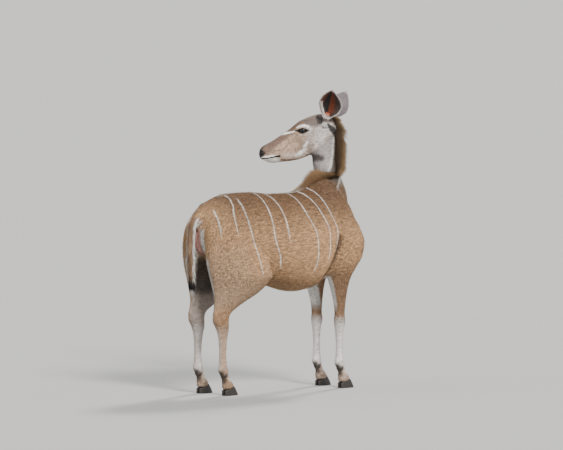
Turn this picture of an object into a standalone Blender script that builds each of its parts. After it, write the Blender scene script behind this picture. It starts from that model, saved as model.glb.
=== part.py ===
"""Greater kudu cow, life size, standing square with the head turned back over the left side.

Metres, +Z up. The body faces +X, its left side is +Y, and the hooves stand on z = 0.
Each mass of the body is a closed shape lofted through a few named stations. The masses are joined and smoothed into
one body, the face, ears and hair locks are added to it, and thin cuts then part it into nodes.
"""

import math

import bmesh
import bpy
import numpy as np
from mathutils import Matrix, Vector
from mathutils.bvhtree import BVHTree

# Driving sizes
GAP = 0.0003  # between pieces that touch
VOXEL = 0.0075  # of the remeshed skin
BODY_TRIANGLES = 3500
HEAD_TRIANGLES = 1150
HEAD_REACH = 0.27  # from the middle of the head, where its finer mesh ends
EYE_RADIUS = 0.0225
LID = 0.0030  # how far the lids stand off the eyeball
EAR_WALL = 0.0045
HEEL_HEIGHT = 0.028
CORONET_SLOPE = 0.40
CLAW_GAP = 0.003
LOCK_SEED = 7

# Trunk stations: along, top, belly, half width, height of the widest place
TRUNK = np.array(
    [
        (-0.645, 0.985, 0.905, 0.035, 0.950),
        (-0.625, 1.050, 0.850, 0.095, 0.960),
        (-0.580, 1.105, 0.805, 0.140, 0.965),
        (-0.500, 1.150, 0.765, 0.175, 0.965),
        (-0.400, 1.177, 0.725, 0.194, 0.955),
        (-0.280, 1.180, 0.680, 0.208, 0.920),
        (-0.100, 1.163, 0.615, 0.240, 0.850),
        (0.050, 1.163, 0.580, 0.250, 0.825),
        (0.150, 1.187, 0.594, 0.236, 0.835),
        (0.230, 1.225, 0.630, 0.208, 0.860),
        (0.300, 1.242, 0.668, 0.178, 0.880),
        (0.360, 1.205, 0.690, 0.160, 0.895),
        (0.420, 1.130, 0.716, 0.146, 0.905),
        (0.470, 1.045, 0.755, 0.115, 0.905),
        (0.510, 0.965, 0.815, 0.070, 0.890),
        (0.523, 0.915, 0.850, 0.028, 0.880),
    ]
)

# Front leg stations: height, back edge, front edge, inner edge, outer edge
FRONT_LEG = np.array(
    [
        (1.170, 0.250, 0.315, 0.030, 0.085),
        (1.120, 0.235, 0.355, 0.030, 0.128),
        (1.050, 0.225, 0.405, 0.040, 0.165),
        (0.950, 0.218, 0.470, 0.045, 0.190),
        (0.860, 0.212, 0.503, 0.050, 0.197),
        (0.780, 0.210, 0.490, 0.055, 0.190),
        (0.710, 0.226, 0.448, 0.060, 0.174),
        (0.650, 0.250, 0.410, 0.066, 0.161),
        (0.580, 0.275, 0.388, 0.074, 0.150),
        (0.500, 0.297, 0.376, 0.080, 0.140),
        (0.440, 0.304, 0.371, 0.082, 0.136),
        (0.400, 0.301, 0.375, 0.078, 0.138),
        (0.365, 0.304, 0.369, 0.082, 0.134),
        (0.320, 0.310, 0.361, 0.086, 0.130),
        (0.240, 0.314, 0.358, 0.088, 0.128),
        (0.185, 0.311, 0.361, 0.086, 0.130),
        (0.152, 0.304, 0.367, 0.081, 0.135),
        (0.120, 0.318, 0.372, 0.085, 0.131),
        (0.092, 0.331, 0.387, 0.084, 0.132),
        (0.060, 0.330, 0.408, 0.079, 0.137),
        (0.010, 0.330, 0.412, 0.079, 0.137),
    ]
)

# Hind leg stations: height, back edge, front edge, inner edge, outer edge
HIND_LEG = np.array(
    [
        (1.120, -0.535, -0.310, 0.020, 0.135),
        (1.040, -0.600, -0.250, 0.012, 0.172),
        (0.950, -0.640, -0.205, 0.010, 0.194),
        (0.860, -0.648, -0.175, 0.010, 0.200),
        (0.780, -0.640, -0.155, 0.018, 0.197),
        (0.715, -0.626, -0.160, 0.030, 0.188),
        (0.660, -0.612, -0.190, 0.042, 0.177),
        (0.600, -0.598, -0.262, 0.055, 0.164),
        (0.550, -0.592, -0.360, 0.066, 0.150),
        (0.510, -0.595, -0.436, 0.076, 0.141),
        (0.475, -0.604, -0.480, 0.080, 0.138),
        (0.440, -0.602, -0.490, 0.078, 0.139),
        (0.400, -0.582, -0.489, 0.079, 0.138),
        (0.360, -0.567, -0.497, 0.084, 0.134),
        (0.310, -0.559, -0.505, 0.087, 0.131),
        (0.240, -0.556, -0.509, 0.088, 0.130),
        (0.185, -0.557, -0.506, 0.086, 0.132),
        (0.152, -0.562, -0.497, 0.081, 0.136),
        (0.120, -0.548, -0.492, 0.085, 0.132),
        (0.092, -0.535, -0.477, 0.084, 0.133),
        (0.060, -0.534, -0.456, 0.080, 0.138),
        (0.010, -0.534, -0.452, 0.080, 0.138),
    ]
)

# Neck stations: x, y, z of the middle, nape heading in degrees, nape rise in degrees, half depth, half width
NECK = np.array(
    [
        (0.260, 0.000, 0.950, 180, 48, 0.185, 0.120),
        (0.335, 0.006, 1.050, 184, 45, 0.155, 0.110),
        (0.380, 0.028, 1.150, 208, 36, 0.115, 0.090),
        (0.388, 0.070, 1.235, 250, 20, 0.090, 0.074),
        (0.395, 0.104, 1.310, 289, 8, 0.078, 0.063),
        (0.406, 0.124, 1.380, 310, 2, 0.077, 0.058),
        (0.418, 0.136, 1.450, 320, 0, 0.073, 0.056),
        (0.423, 0.140, 1.505, 322, 6, 0.066, 0.055),
    ]
)

# Head stations along the skull's axis: along, top, bottom, height of the widest place, half width
HEAD = np.array(
    [
        (-0.066, 0.030, -0.030, 0.000, 0.026),
        (-0.054, 0.058, -0.052, 0.010, 0.043),
        (-0.025, 0.083, -0.072, 0.020, 0.055),
        (0.020, 0.096, -0.088, 0.028, 0.060),
        (0.070, 0.099, -0.103, 0.030, 0.063),
        (0.120, 0.096, -0.115, 0.028, 0.063),
        (0.155, 0.087, -0.119, 0.018, 0.059),
        (0.190, 0.075, -0.119, 0.004, 0.052),
        (0.240, 0.061, -0.113, -0.012, 0.045),
        (0.285, 0.050, -0.102, -0.018, 0.041),
        (0.320, 0.042, -0.092, -0.020, 0.039),
        (0.350, 0.038, -0.085, -0.020, 0.039),
        (0.378, 0.034, -0.073, -0.016, 0.037),
        (0.400, 0.024, -0.053, -0.014, 0.032),
        (0.414, 0.006, -0.038, -0.014, 0.021),
        (0.420, -0.008, -0.026, -0.016, 0.010),
    ]
)
HEAD_PLACE = Vector((0.422, 0.139, 1.518))
HEAD_HEADING = math.radians(142)
HEAD_DROP = math.radians(20.9)

# Bumps on the head's sides: along, height, reach along, reach up, how far they stand out
HEAD_BUMPS = [
    (0.128, 0.052, 0.032, 0.020, 0.0120),  # brow
    (0.128, 0.014, 0.034, 0.014, 0.0070),  # under the eye
    (0.100, -0.050, 0.045, 0.035, 0.0080),  # cheek
    (0.215, -0.015, 0.050, 0.020, -0.0040),  # hollow before the eye
    (0.388, 0.004, 0.018, 0.016, 0.0060),  # nostril wing
    (0.370, -0.050, 0.030, 0.014, 0.0040),  # lips
    (-0.005, 0.045, 0.022, 0.022, 0.0080),  # ear root
]

# Mouth line on the head: along, height
MOUTH = np.array([(0.308, -0.060), (0.340, -0.050), (0.373, -0.044), (0.400, -0.037), (0.420, -0.033)])
MOUTH_SLIT = 0.0016
MOUTH_DEPTH = 0.008
NOSTRIL = (0.397, 0.006)
EYE = (0.124, 0.036)
EYE_OPENING = (0.0255, 0.0138)  # half length, half height

# Tail stations: x, y, z, half width, half thickness
TAIL = np.array(
    [
        (-0.575, 0.000, 1.055, 0.034, 0.024),
        (-0.632, 0.000, 1.045, 0.032, 0.022),
        (-0.668, 0.002, 0.995, 0.031, 0.017),
        (-0.679, 0.003, 0.920, 0.033, 0.013),
        (-0.681, 0.004, 0.840, 0.034, 0.012),
        (-0.679, 0.006, 0.760, 0.030, 0.011),
        (-0.675, 0.008, 0.700, 0.018, 0.009),
        (-0.672, 0.009, 0.672, 0.007, 0.006),
    ]
)
TAIL_CUT = ((-0.664, 0.001, 1.005), (-0.45, 0.0, -0.893))
TAIL_STUMP = 0.36  # share of the tail's length that may be kept on the body
TAIL_FRONT, TAIL_BACK = -0.645, -0.720  # between these the stump ends at the cut

# Ear stations: share of the length, half angle of the wall in degrees, half width, depth of the cup
EAR = np.array(
    [
        (0.00, 150, 0.020, 0.019),
        (0.10, 146, 0.024, 0.023),
        (0.22, 122, 0.039, 0.031),
        (0.38, 98, 0.059, 0.037),
        (0.52, 86, 0.068, 0.036),
        (0.66, 79, 0.062, 0.030),
        (0.80, 72, 0.046, 0.022),
        (0.92, 64, 0.024, 0.012),
        (1.00, 58, 0.005, 0.003),
    ]
)
# Each ear: root and tip on the head as along, left, up, then the way its back faces
EARS = {
    "left_ear": ((-0.022, 0.050, 0.040), (-0.126, 0.148, 0.205), (-0.25, -1.0, 0.10)),
    "right_ear": ((-0.022, -0.050, 0.040), (-0.198, -0.112, 0.156), (-0.30, 1.0, 0.30)),
}

# Cuts: a point of the plane, the way it faces, and half its length and width
NECK_CUT = ((0.405, 0.0, 1.075), (0.882, 0.10, 0.471), (0.270, 0.22))
HEAD_CUT_AT = (0.040, 0.0, -0.0921)  # along, left, up of a point of the cut below the ears and jaw
HEAD_CUT_FACES = (0.381, 0.0, 0.925)
HEAD_CUT_SPREAD = (0.17, 0.12)
LEG_CUTS = {
    "front": (("forearm", 0.605), ("cannon", 0.392), ("foot", 0.162)),
    "hind": (("gaskin", 0.635), ("cannon", 0.430), ("foot", 0.162)),
}
LEG_CUT_PLACE = {"front": (0.335, 0.113), "hind": (-0.450, 0.108)}  # along, out
LEG_CUT_SPREAD = {"front": (0.105, 0.085), "hind": (0.260, 0.095)}
FOOT_MIDDLE = {"front": (0.371, 0.108), "hind": (-0.493, 0.109)}
CLAW_BACK = -0.034  # from the middle of the foot
CLAW_TOE = 0.067
CLAW_CORONET = 0.036
CLAW_WIDTH = 0.0255
DEWCLAW = (-0.030, 0.017, 0.118)  # from the middle of the foot: along, out, height

# Crest stations, from the poll down the nape and over the withers: a point inside, the heading and the rise
# of the way out, both in degrees, and how far the hair stands up
CREST = np.array(
    [
        (0.436, 0.128, 1.560, 322, 52, 0.034),
        (0.430, 0.134, 1.505, 322, 14, 0.054),
        (0.418, 0.136, 1.450, 320, 4, 0.060),
        (0.406, 0.124, 1.380, 310, 4, 0.060),
        (0.395, 0.104, 1.310, 289, 10, 0.056),
        (0.386, 0.070, 1.235, 256, 28, 0.050),
        (0.370, 0.035, 1.160, 222, 56, 0.052),
        (0.325, 0.008, 1.110, 195, 76, 0.054),
        (0.265, 0.000, 1.090, 180, 86, 0.050),
        (0.205, 0.000, 1.070, 180, 88, 0.038),
        (0.145, 0.000, 1.050, 180, 88, 0.024),
        (0.090, 0.000, 1.040, 180, 88, 0.012),
    ]
)
CREST_STEPS = 27  # along the crest, with a lock each side at every step and one between
CREST_ROOT = 0.012  # how deep the hair is rooted
CREST_HALF_WIDTH = 0.017
CREST_CORE = 0.40  # height of the hair's core, as a share of the locks' height
CREST_LEAN = 0.75  # how far a lock leans down the neck for each unit that it stands up
TAIL_LOCKS = 11  # on each edge of the tail

COLOURS = {
    "coat": (0.36, 0.25, 0.17),
    "neck": (0.42, 0.37, 0.33),
    "leg": (0.52, 0.44, 0.35),
    "ear": (0.40, 0.34, 0.31),
    "hoof": (0.06, 0.05, 0.045),
    "eye": (0.02, 0.012, 0.01),
}


def smooth_values(knots, values, at):
    """Monotone cubic through the stations, so nothing swells between two of them."""
    knots = np.asarray(knots, float)
    values = np.asarray(values, float).reshape(len(knots), -1)
    step = np.diff(knots)[:, None]
    slope = np.diff(values, axis=0) / step
    product = slope[:-1] * slope[1:]
    total = slope[:-1] + slope[1:]
    middle = np.where(product > 0, 2 * product / np.where(total == 0, 1, total), 0)
    tangent = np.vstack([slope[:1], middle, slope[-1:]])
    at = np.clip(np.asarray(at, float), knots[0], knots[-1])
    i = np.clip(np.searchsorted(knots, at, side="right") - 1, 0, len(knots) - 2)
    h = step[i]
    s = ((at - knots[i])[:, None]) / h
    return (
        values[i] * (2 * s**3 - 3 * s**2 + 1)
        + tangent[i] * h * (s**3 - 2 * s**2 + s)
        + values[i + 1] * (3 * s**2 - 2 * s**3)
        + tangent[i + 1] * h * (s**3 - s**2)
    )


def power_ring(turns, roundness):
    """cos and sin of a superellipse: roundness 2 is an ellipse, more is boxier, less is more pointed."""
    angle = 2 * np.pi * np.arange(turns) / turns
    c, s = np.cos(angle), np.sin(angle)
    power = 2 / roundness
    return np.sign(c) * np.abs(c) ** power, np.sign(s) * np.abs(s) ** power


def mesh_object(name, points, faces):
    mesh = bpy.data.meshes.new(name)
    mesh.from_pydata(points.reshape(-1, 3).tolist(), [], faces)
    mesh.update()
    shape = bpy.data.objects.new(name, mesh)
    bpy.context.scene.collection.objects.link(shape)
    face_outwards(shape)
    return shape


def face_outwards(shape):
    work = bmesh.new()
    work.from_mesh(shape.data)
    bmesh.ops.recalc_face_normals(work, faces=work.faces)
    if work.calc_volume(signed=True) < 0:
        bmesh.ops.reverse_faces(work, faces=work.faces)
    work.to_mesh(shape.data)
    work.free()


def loft(name, rings, flat_ends=False, tip=None):
    """Closed surface through rings of equal count. Each end is closed by a fan to its middle, or by a strip of
    faces between its two walls where the ring is a curved wall. With a tip, the last fan runs to a point."""
    count, turns = rings.shape[:2]
    points = rings.reshape(-1, 3)
    if not flat_ends:
        points = np.vstack([points, rings[0].mean(0), rings[-1].mean(0) if tip is None else tip])
    faces = []
    for i in range(count - 1):
        for j in range(turns):
            k = (j + 1) % turns
            a, b = i * turns, (i + 1) * turns
            faces.append((a + j, a + k, b + k, b + j))
    first, last = count * turns, count * turns + 1
    if flat_ends:
        end = (count - 1) * turns
        for j in range(turns // 2 - 1):
            faces.append((j, turns - 1 - j, turns - 2 - j, j + 1))
            faces.append((end + j, end + j + 1, end + turns - 2 - j, end + turns - 1 - j))
        return mesh_object(name, points, faces)
    for j in range(turns):
        k = (j + 1) % turns
        faces.append((first, k, j))
        faces.append((last, (count - 1) * turns + j, (count - 1) * turns + k))
    return mesh_object(name, points, faces)


def trunk_rings(count=64, turns=40):
    """Upright sections across the body: width by cosine, height by sine about the widest place."""
    along = np.linspace(TRUNK[0, 0], TRUNK[-1, 0], count)
    top, belly, half, widest = smooth_values(TRUNK[:, 0], TRUNK[:, 1:], along).T
    c, s = power_ring(turns, 2.15)
    y = half[:, None] * c
    z = widest[:, None] + np.where(
        s > 0, (top - widest)[:, None] * s, (widest - belly)[:, None] * s
    )
    x = np.broadcast_to(along[:, None], y.shape)
    return np.stack([x, y, z], axis=-1)


def leg_rings(stations, side, reach=0.0, count=70, turns=20):
    """Level sections down the leg, each an oval between its four edges. The leg leans by reach from hip to hoof."""
    order = stations[::-1]
    height = np.linspace(order[0, 0], order[-1, 0], count)
    back, front, inner, outer = smooth_values(order[:, 0], order[:, 1:], height).T
    lean = reach * (1 - height / order[-1, 0])
    c, s = power_ring(turns, 2.2)
    x = ((back + front) / 2 + lean)[:, None] + ((front - back) / 2)[:, None] * c
    y = side * (((inner + outer) / 2)[:, None] + ((outer - inner) / 2)[:, None] * s)
    z = np.broadcast_to(height[:, None], x.shape)
    return np.stack([x, y, z], axis=-1)


def neck_frame(count):
    """Middle line of the neck, and the nape and side directions square to it."""
    knots = np.linspace(0, 1, len(NECK))
    at = np.linspace(0, 1, count)
    values = smooth_values(knots, NECK, at)
    middle = values[:, :3]
    along = np.gradient(middle, axis=0)
    along /= np.linalg.norm(along, axis=1, keepdims=True)
    heading, rise = np.radians(values[:, 3]), np.radians(values[:, 4])
    nape = np.stack(
        [np.cos(heading) * np.cos(rise), np.sin(heading) * np.cos(rise), np.sin(rise)], axis=-1
    )
    nape -= along * (nape * along).sum(1, keepdims=True)
    nape /= np.linalg.norm(nape, axis=1, keepdims=True)
    return middle, along, nape, np.cross(along, nape), values[:, 5], values[:, 6]


def neck_rings(count=40, turns=28):
    """Oval sections square to the neck's middle line, deep from nape to throat."""
    middle, _, nape, side, depth, half = neck_frame(count)
    c, s = power_ring(turns, 2.0)
    return (
        middle[:, None]
        + nape[:, None] * (depth[:, None] * c)[..., None]
        + side[:, None] * (half[:, None] * s)[..., None]
    )


def head_axes():
    """Forward, left and up of the turned head."""
    level = Vector((math.cos(HEAD_HEADING), math.sin(HEAD_HEADING), 0))
    forward = level * math.cos(HEAD_DROP) - Vector((0, 0, 1)) * math.sin(HEAD_DROP)
    up = level * math.sin(HEAD_DROP) + Vector((0, 0, 1)) * math.cos(HEAD_DROP)
    return np.array(forward), np.array(up.cross(forward)), np.array(up)


def on_head(along, left, up):
    """Point of the frame that lies this far forward, left and up of the middle of the braincase."""
    forward, leftward, upward = head_axes()
    along, left, up = (np.asarray(v, float)[..., None] for v in (along, left, up))
    return np.array(HEAD_PLACE) + along * forward + left * leftward + up * upward


def head_half_width(along, up):
    """Half width of the head at a place on its side."""
    top, bottom, widest, half = smooth_values(HEAD[:, 0], HEAD[:, 1:], along).T
    above = up > widest
    reach = np.where(above, top - widest, widest - bottom)
    share = np.clip(np.abs(up - widest) / reach, 0, 1)
    roundness = np.where(above, 2.3, 1.9)
    flat = half * (1 - share**roundness) ** (1 / roundness)
    return flat + bump_sum(along, up) * np.clip(flat / (0.35 * half), 0, 1)


def bump_sum(along, up):
    total = np.zeros(np.broadcast(along, up).shape)
    for at, height, reach, rise, out in HEAD_BUMPS:
        total += out * np.exp(-(((along - at) / reach) ** 2) - ((up - height) / rise) ** 2)
    return total


def head_rings(count=80, turns=40):
    """Sections across the head: rounder above the widest place than below it, with bumps on the sides."""
    along = np.linspace(HEAD[0, 0], HEAD[-1, 0], count)
    top, bottom, widest, half = smooth_values(HEAD[:, 0], HEAD[:, 1:], along).T
    angle = 2 * np.pi * np.arange(turns) / turns
    c, s = np.cos(angle), np.sin(angle)
    power = np.where(s > 0, 2 / 2.3, 2 / 1.9)
    left = half[:, None] * np.sign(c) * np.abs(c) ** power
    rise = np.sign(s) * np.abs(s) ** power
    up = widest[:, None] + np.where(
        s > 0, (top - widest)[:, None] * rise, (widest - bottom)[:, None] * rise
    )
    ahead = np.broadcast_to(along[:, None], up.shape)
    left = left + np.sign(c) * np.minimum(np.abs(c) * 3, 1) * bump_sum(ahead, up)
    return on_head(ahead, left, up)


def tail_rings(count=14, turns=10, last=1.0):
    """Ovals along the hanging tail, wide across and thin from front to back."""
    values = smooth_values(np.linspace(0, 1, len(TAIL)), TAIL, np.linspace(0, last, count))
    middle = values[:, :3]
    along = np.gradient(middle, axis=0)
    along /= np.linalg.norm(along, axis=1, keepdims=True)
    across = np.array([0.0, 1.0, 0.0]) - along * along[:, 1:2]
    across /= np.linalg.norm(across, axis=1, keepdims=True)
    through = np.cross(along, across)
    c, s = power_ring(turns, 2.0)
    return (
        middle[:, None]
        + across[:, None] * (values[:, 3:4] * c)[..., None]
        + through[:, None] * (values[:, 4:5] * s)[..., None]
    )


def apply_modifiers(shape):
    graph = bpy.context.evaluated_depsgraph_get()
    mesh = bpy.data.meshes.new_from_object(shape.evaluated_get(graph))
    shape.modifiers.clear()
    old = shape.data
    shape.data = mesh
    bpy.data.meshes.remove(old)


def merged(name, shapes):
    """One object holding the surfaces of all the shapes, still overlapping."""
    work = bmesh.new()
    for shape in shapes:
        work.from_mesh(shape.data)
    mesh = bpy.data.meshes.new(name)
    work.to_mesh(mesh)
    work.free()
    for shape in shapes:
        bpy.data.objects.remove(shape)
    whole = bpy.data.objects.new(name, mesh)
    bpy.context.scene.collection.objects.link(whole)
    return whole


def weigh(shape, name, values):
    group = shape.vertex_groups.new(name=name)
    for index, value in enumerate(values):
        group.add([index], float(value), "REPLACE")


def vertex_array(shape):
    points = np.empty(len(shape.data.vertices) * 3)
    shape.data.vertices.foreach_get("co", points)
    return points.reshape(-1, 3)


def head_weights(shape):
    """1 near the head and 0 elsewhere."""
    away = np.linalg.norm(vertex_array(shape) - on_head(0.17, 0, 0), axis=1)
    return (away < HEAD_REACH).astype(float)


def triangle_count(shape):
    return sum(len(face.vertices) - 2 for face in shape.data.polygons)


def thinned(shape, name, weights, wanted):
    """Collapses edges where the weight is 1 until the whole shape holds the wanted number of triangles."""
    weigh(shape, name, weights)
    thin = shape.modifiers.new(name, "DECIMATE")
    thin.ratio = wanted / triangle_count(shape)
    thin.vertex_group = name
    thin.vertex_group_factor = 0.001
    apply_modifiers(shape)


def joined_body():
    """All the masses as one skin: remeshed, smoothed most where masses meet, and thinned."""
    masses = [
        loft("trunk", trunk_rings()),
        loft("neck_mass", neck_rings()),
        loft("head_mass", head_rings()),
        loft("tail_mass", tail_rings(last=TAIL_STUMP)),
    ]
    for side in (1, -1):
        masses.append(loft("front_mass", leg_rings(FRONT_LEG, side)))
        masses.append(loft("hind_mass", leg_rings(HIND_LEG, side, -0.02 if side > 0 else 0.0)))
    body = merged("body", masses)
    remesh = body.modifiers.new("skin", "REMESH")
    remesh.mode = "VOXEL"
    remesh.voxel_size = VOXEL
    apply_modifiers(body)
    low = np.clip((vertex_array(body)[:, 2] - 0.50) / 0.15, 0.12, 1)
    weigh(body, "soften", np.where(head_weights(body) > 0, 0.10, low))
    soften = body.modifiers.new("soften", "SMOOTH")
    soften.factor = 0.6
    soften.iterations = 14
    soften.vertex_group = "soften"
    apply_modifiers(body)
    weights = head_weights(body)
    on_the_head = weights[[face.vertices[0] for face in body.data.polygons]].sum() * 2
    thinned(body, "thin_body", 1 - weights, BODY_TRIANGLES + on_the_head)
    thinned(body, "thin_head", head_weights(body), BODY_TRIANGLES + HEAD_TRIANGLES)
    return body


def hidden_helper(shape):
    shape.hide_render = True
    shape.display_type = "WIRE"
    return shape


def boolean(shape, others, operation, solver="EXACT"):
    """Joins or cuts with all the others at once, then removes them."""
    group = bpy.data.collections.new("operands")
    for other in others:
        hidden_helper(other)
        group.objects.link(other)
    step = shape.modifiers.new(operation, "BOOLEAN")
    step.operation = operation
    step.solver = solver
    step.operand_type = "COLLECTION"
    step.collection = group
    apply_modifiers(shape)
    for other in others:
        bpy.data.objects.remove(other)
    bpy.data.collections.remove(group)


def slab(name, middle, faces, spread, thickness=GAP):
    """Thin box square to the way it faces; its length runs as steeply as it can."""
    normal = Vector(faces).normalized()
    across = Vector((0, 0, 1)).cross(normal)
    across = Vector((0, 1, 0)) if across.length < 1e-6 else across.normalized()
    steep = normal.cross(across)
    points = []
    for a in (-1, 1):
        for b in (-1, 1):
            for c in (-1, 1):
                offset = steep * (a * spread[0]) + across * (b * spread[1]) + normal * (c * thickness / 2)
                points.append(Vector(middle) + offset)
    faces = [(0, 1, 3, 2), (4, 6, 7, 5), (0, 4, 5, 1), (2, 3, 7, 6), (0, 2, 6, 4), (1, 5, 7, 3)]
    return mesh_object(name, np.array(points), faces)


def ball(name, middle, axes, turns=16, rows=10):
    """Ellipsoid from three half axes."""
    upright = np.linspace(0, np.pi, rows + 2)[1:-1]
    angle = 2 * np.pi * np.arange(turns) / turns
    a, b, c = (np.array(axis, float) for axis in axes)
    rings = (
        np.array(middle, float)
        + (np.sin(upright)[:, None] * np.cos(angle))[..., None] * a
        + (np.sin(upright)[:, None] * np.sin(angle))[..., None] * b
        + (np.cos(upright)[:, None] * np.ones(turns))[..., None] * c
    )
    points = np.vstack([rings.reshape(-1, 3), np.array(middle) + c, np.array(middle) - c])
    faces = []
    for i in range(rows - 1):
        for j in range(turns):
            k = (j + 1) % turns
            faces.append((i * turns + j, i * turns + k, (i + 1) * turns + k, (i + 1) * turns + j))
    top, bottom = rows * turns, rows * turns + 1
    for j in range(turns):
        k = (j + 1) % turns
        faces.append((top, j, k))
        faces.append((bottom, (rows - 1) * turns + k, (rows - 1) * turns + j))
    return mesh_object(name, points, faces)


def head_ball(name, along, left, up, reach, **counts):
    """Ellipsoid on the head, with half axes along, left and up."""
    forward, leftward, upward = head_axes()
    axes = (forward * reach[0], leftward * reach[1], upward * reach[2])
    return ball(name, on_head(along, left, up), axes, **counts)


def prism(name, outline, near, far):
    """Straight-sided block on the head from an outline of (along, up) points, from one left value to another."""
    outline = np.asarray(outline)
    rings = np.stack([on_head(outline[:, 0], np.full(len(outline), left), outline[:, 1]) for left in (near, far)])
    return loft(name, rings)


def eye_middle():
    """How far out the middle of each eyeball lies: it sits deep, with the lids standing round it."""
    surface = float(head_half_width(np.array([EYE[0]]), np.array([EYE[1]]))[0])
    return surface - EYE_RADIUS * 0.72


def almond(half_length, half_height, turns=20):
    """Outline of the eye's opening: pointed ends, the front one drawn down towards the tear duct."""
    angle = 2 * np.pi * np.arange(turns) / turns
    along = EYE[0] + half_length * np.cos(angle)
    up = EYE[1] + half_height * np.sin(angle) * (1 - 0.25 * np.cos(angle) ** 2)
    return np.stack([along, up - 0.0025 * np.cos(angle)], axis=-1)


def add_eyes(body):
    """Lids stand round each eyeball, with an almond opening, and the eyeball sits in a socket GAP wider."""
    lids, openings, sockets = [], [], []
    for side, name in ((1, "left"), (-1, "right")):
        left = side * eye_middle()
        reach = EYE_RADIUS + LID
        lids.append(head_ball("lids", EYE[0], left, EYE[1], (reach * 1.12, reach, reach), turns=14, rows=8))
        near, far = side * (eye_middle() + EYE_RADIUS * 0.45), side * 0.12
        openings.append(prism("opening", almond(*EYE_OPENING), near, far))
        wider = EYE_RADIUS + GAP
        sockets.append(head_ball("socket", EYE[0], left, EYE[1], (wider,) * 3, turns=16, rows=9))
        eye = head_ball(name + "_eye", EYE[0], left, EYE[1], (EYE_RADIUS,) * 3, turns=16, rows=9)
        eye.data.shade_smooth()
    boolean(body, lids, "UNION")
    boolean(body, openings, "DIFFERENCE")
    boolean(body, sockets, "DIFFERENCE")


def mouth_slit():
    """A thin slit along the mouth line, from the corner on one side round the front to the other."""
    along = np.linspace(MOUTH[0, 0], 0.409, 9)
    up = smooth_values(MOUTH[:, 0], MOUTH[:, 1:], along)[:, 0]
    half = head_half_width(along, up)
    inner = np.maximum(half - MOUTH_DEPTH, 0.0015)
    outer = half + 0.012
    front_up = MOUTH[-1, 1]
    path_in = [(a, w, h) for a, w, h in zip(along, inner, up)] + [(0.4095, 0.0, front_up)]
    path_out = [(a, w, h) for a, w, h in zip(along, outer, up)] + [(0.436, 0.0, front_up)]
    path_in += [(a, -w, h) for a, w, h in path_in[-2::-1]]
    path_out += [(a, -w, h) for a, w, h in path_out[-2::-1]]
    rings = []
    for within, without in zip(path_in, path_out):
        half = MOUTH_SLIT / 2
        corners = ((within, -half), (without, -half), (without, half), (within, half))
        rings.append([on_head(ahead, left, up + lift) for (ahead, left, up), lift in corners])
    return loft("mouth", np.array(rings))


def nostrils():
    """A comma-shaped hole on each side of the nose."""
    cutters = []
    for side in (1, -1):
        left = side * float(head_half_width(np.array([NOSTRIL[0]]), np.array([NOSTRIL[1]]))[0])
        cutters.append(head_ball("nostril", NOSTRIL[0], left, NOSTRIL[1], (0.0085, 0.007, 0.0052), turns=12, rows=7))
    return cutters


def ear_shell(name):
    """A cupped leaf: an outer and an inner wall carried along the ear's axis, joined along the rim."""
    root, tip, back = (np.array(v, float) for v in EARS[name])
    base = on_head(*root)
    reach = on_head(*tip) - base
    length = np.linalg.norm(reach)
    axis = reach / length
    forward, leftward, upward = head_axes()
    behind = back[0] * forward + back[1] * leftward + back[2] * upward
    behind -= axis * (behind @ axis)
    behind /= np.linalg.norm(behind)
    across = np.cross(axis, behind)
    share = np.array([0.0, 0.1, 0.2, 0.34, 0.50, 0.66, 0.80, 0.92, 1.0])
    half_angle, half, depth = smooth_values(EAR[:, 0], EAR[:, 1:], share).T
    turn = np.linspace(-1, 1, 9)
    curve = 0.10 * length * (share - 0.5) ** 2

    def wall(inset):
        angle = np.radians(half_angle)[:, None] * turn
        width = np.maximum(half - inset, 0.002)[:, None]
        hollow = np.maximum(depth - inset, 0.001)[:, None]
        return (
            base
            + axis * (share[:, None, None] * length)
            + across * (width * np.sin(angle))[..., None]
            + behind * (hollow * np.cos(angle) - curve[:, None])[..., None]
        )

    outer, inner = wall(0.0), wall(EAR_WALL)
    rings = np.concatenate([outer, inner[:, ::-1]], axis=1)
    shell = loft(name, rings, flat_ends=True)
    plug = ball(
        name + "_root",
        base + axis * 0.008,
        (across * 0.0215, behind * 0.0205, axis * 0.030),
        turns=14,
        rows=7,
    )
    boolean(shell, [plug], "UNION")
    return shell, base, axis


def claw(name, side, foot, inner):
    """One half of a cloven hoof: a flat sole, a pointed toe, and a top that slopes down to the heel."""
    x, y = foot
    angle = 2 * np.pi * np.arange(12) / 12
    sign = side * (-1 if inner else 1)
    rings = []
    for share in (0.0, 0.15, 1.0):
        toe = CLAW_TOE + (CLAW_CORONET - CLAW_TOE) * share
        middle, reach = (toe + CLAW_BACK) / 2, (toe - CLAW_BACK) / 2
        grow = 0.96 if share == 0 else 1.0
        along = middle + grow * reach * np.cos(angle)
        taper = 1 - 0.38 * (1 + np.cos(angle)) / 2
        out = CLAW_GAP / 2 + CLAW_WIDTH / 2 * (1 + grow * np.sin(angle) * taper - 0.10 * (1 + np.cos(angle)))
        out = np.maximum(out, CLAW_GAP / 2)
        top = HEEL_HEIGHT + CORONET_SLOPE * (along - CLAW_BACK) - 1.5 * GAP
        rings.append(np.stack([x + along, side * y + sign * out, share * top], axis=-1))
    return loft(name, np.array(rings))


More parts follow.
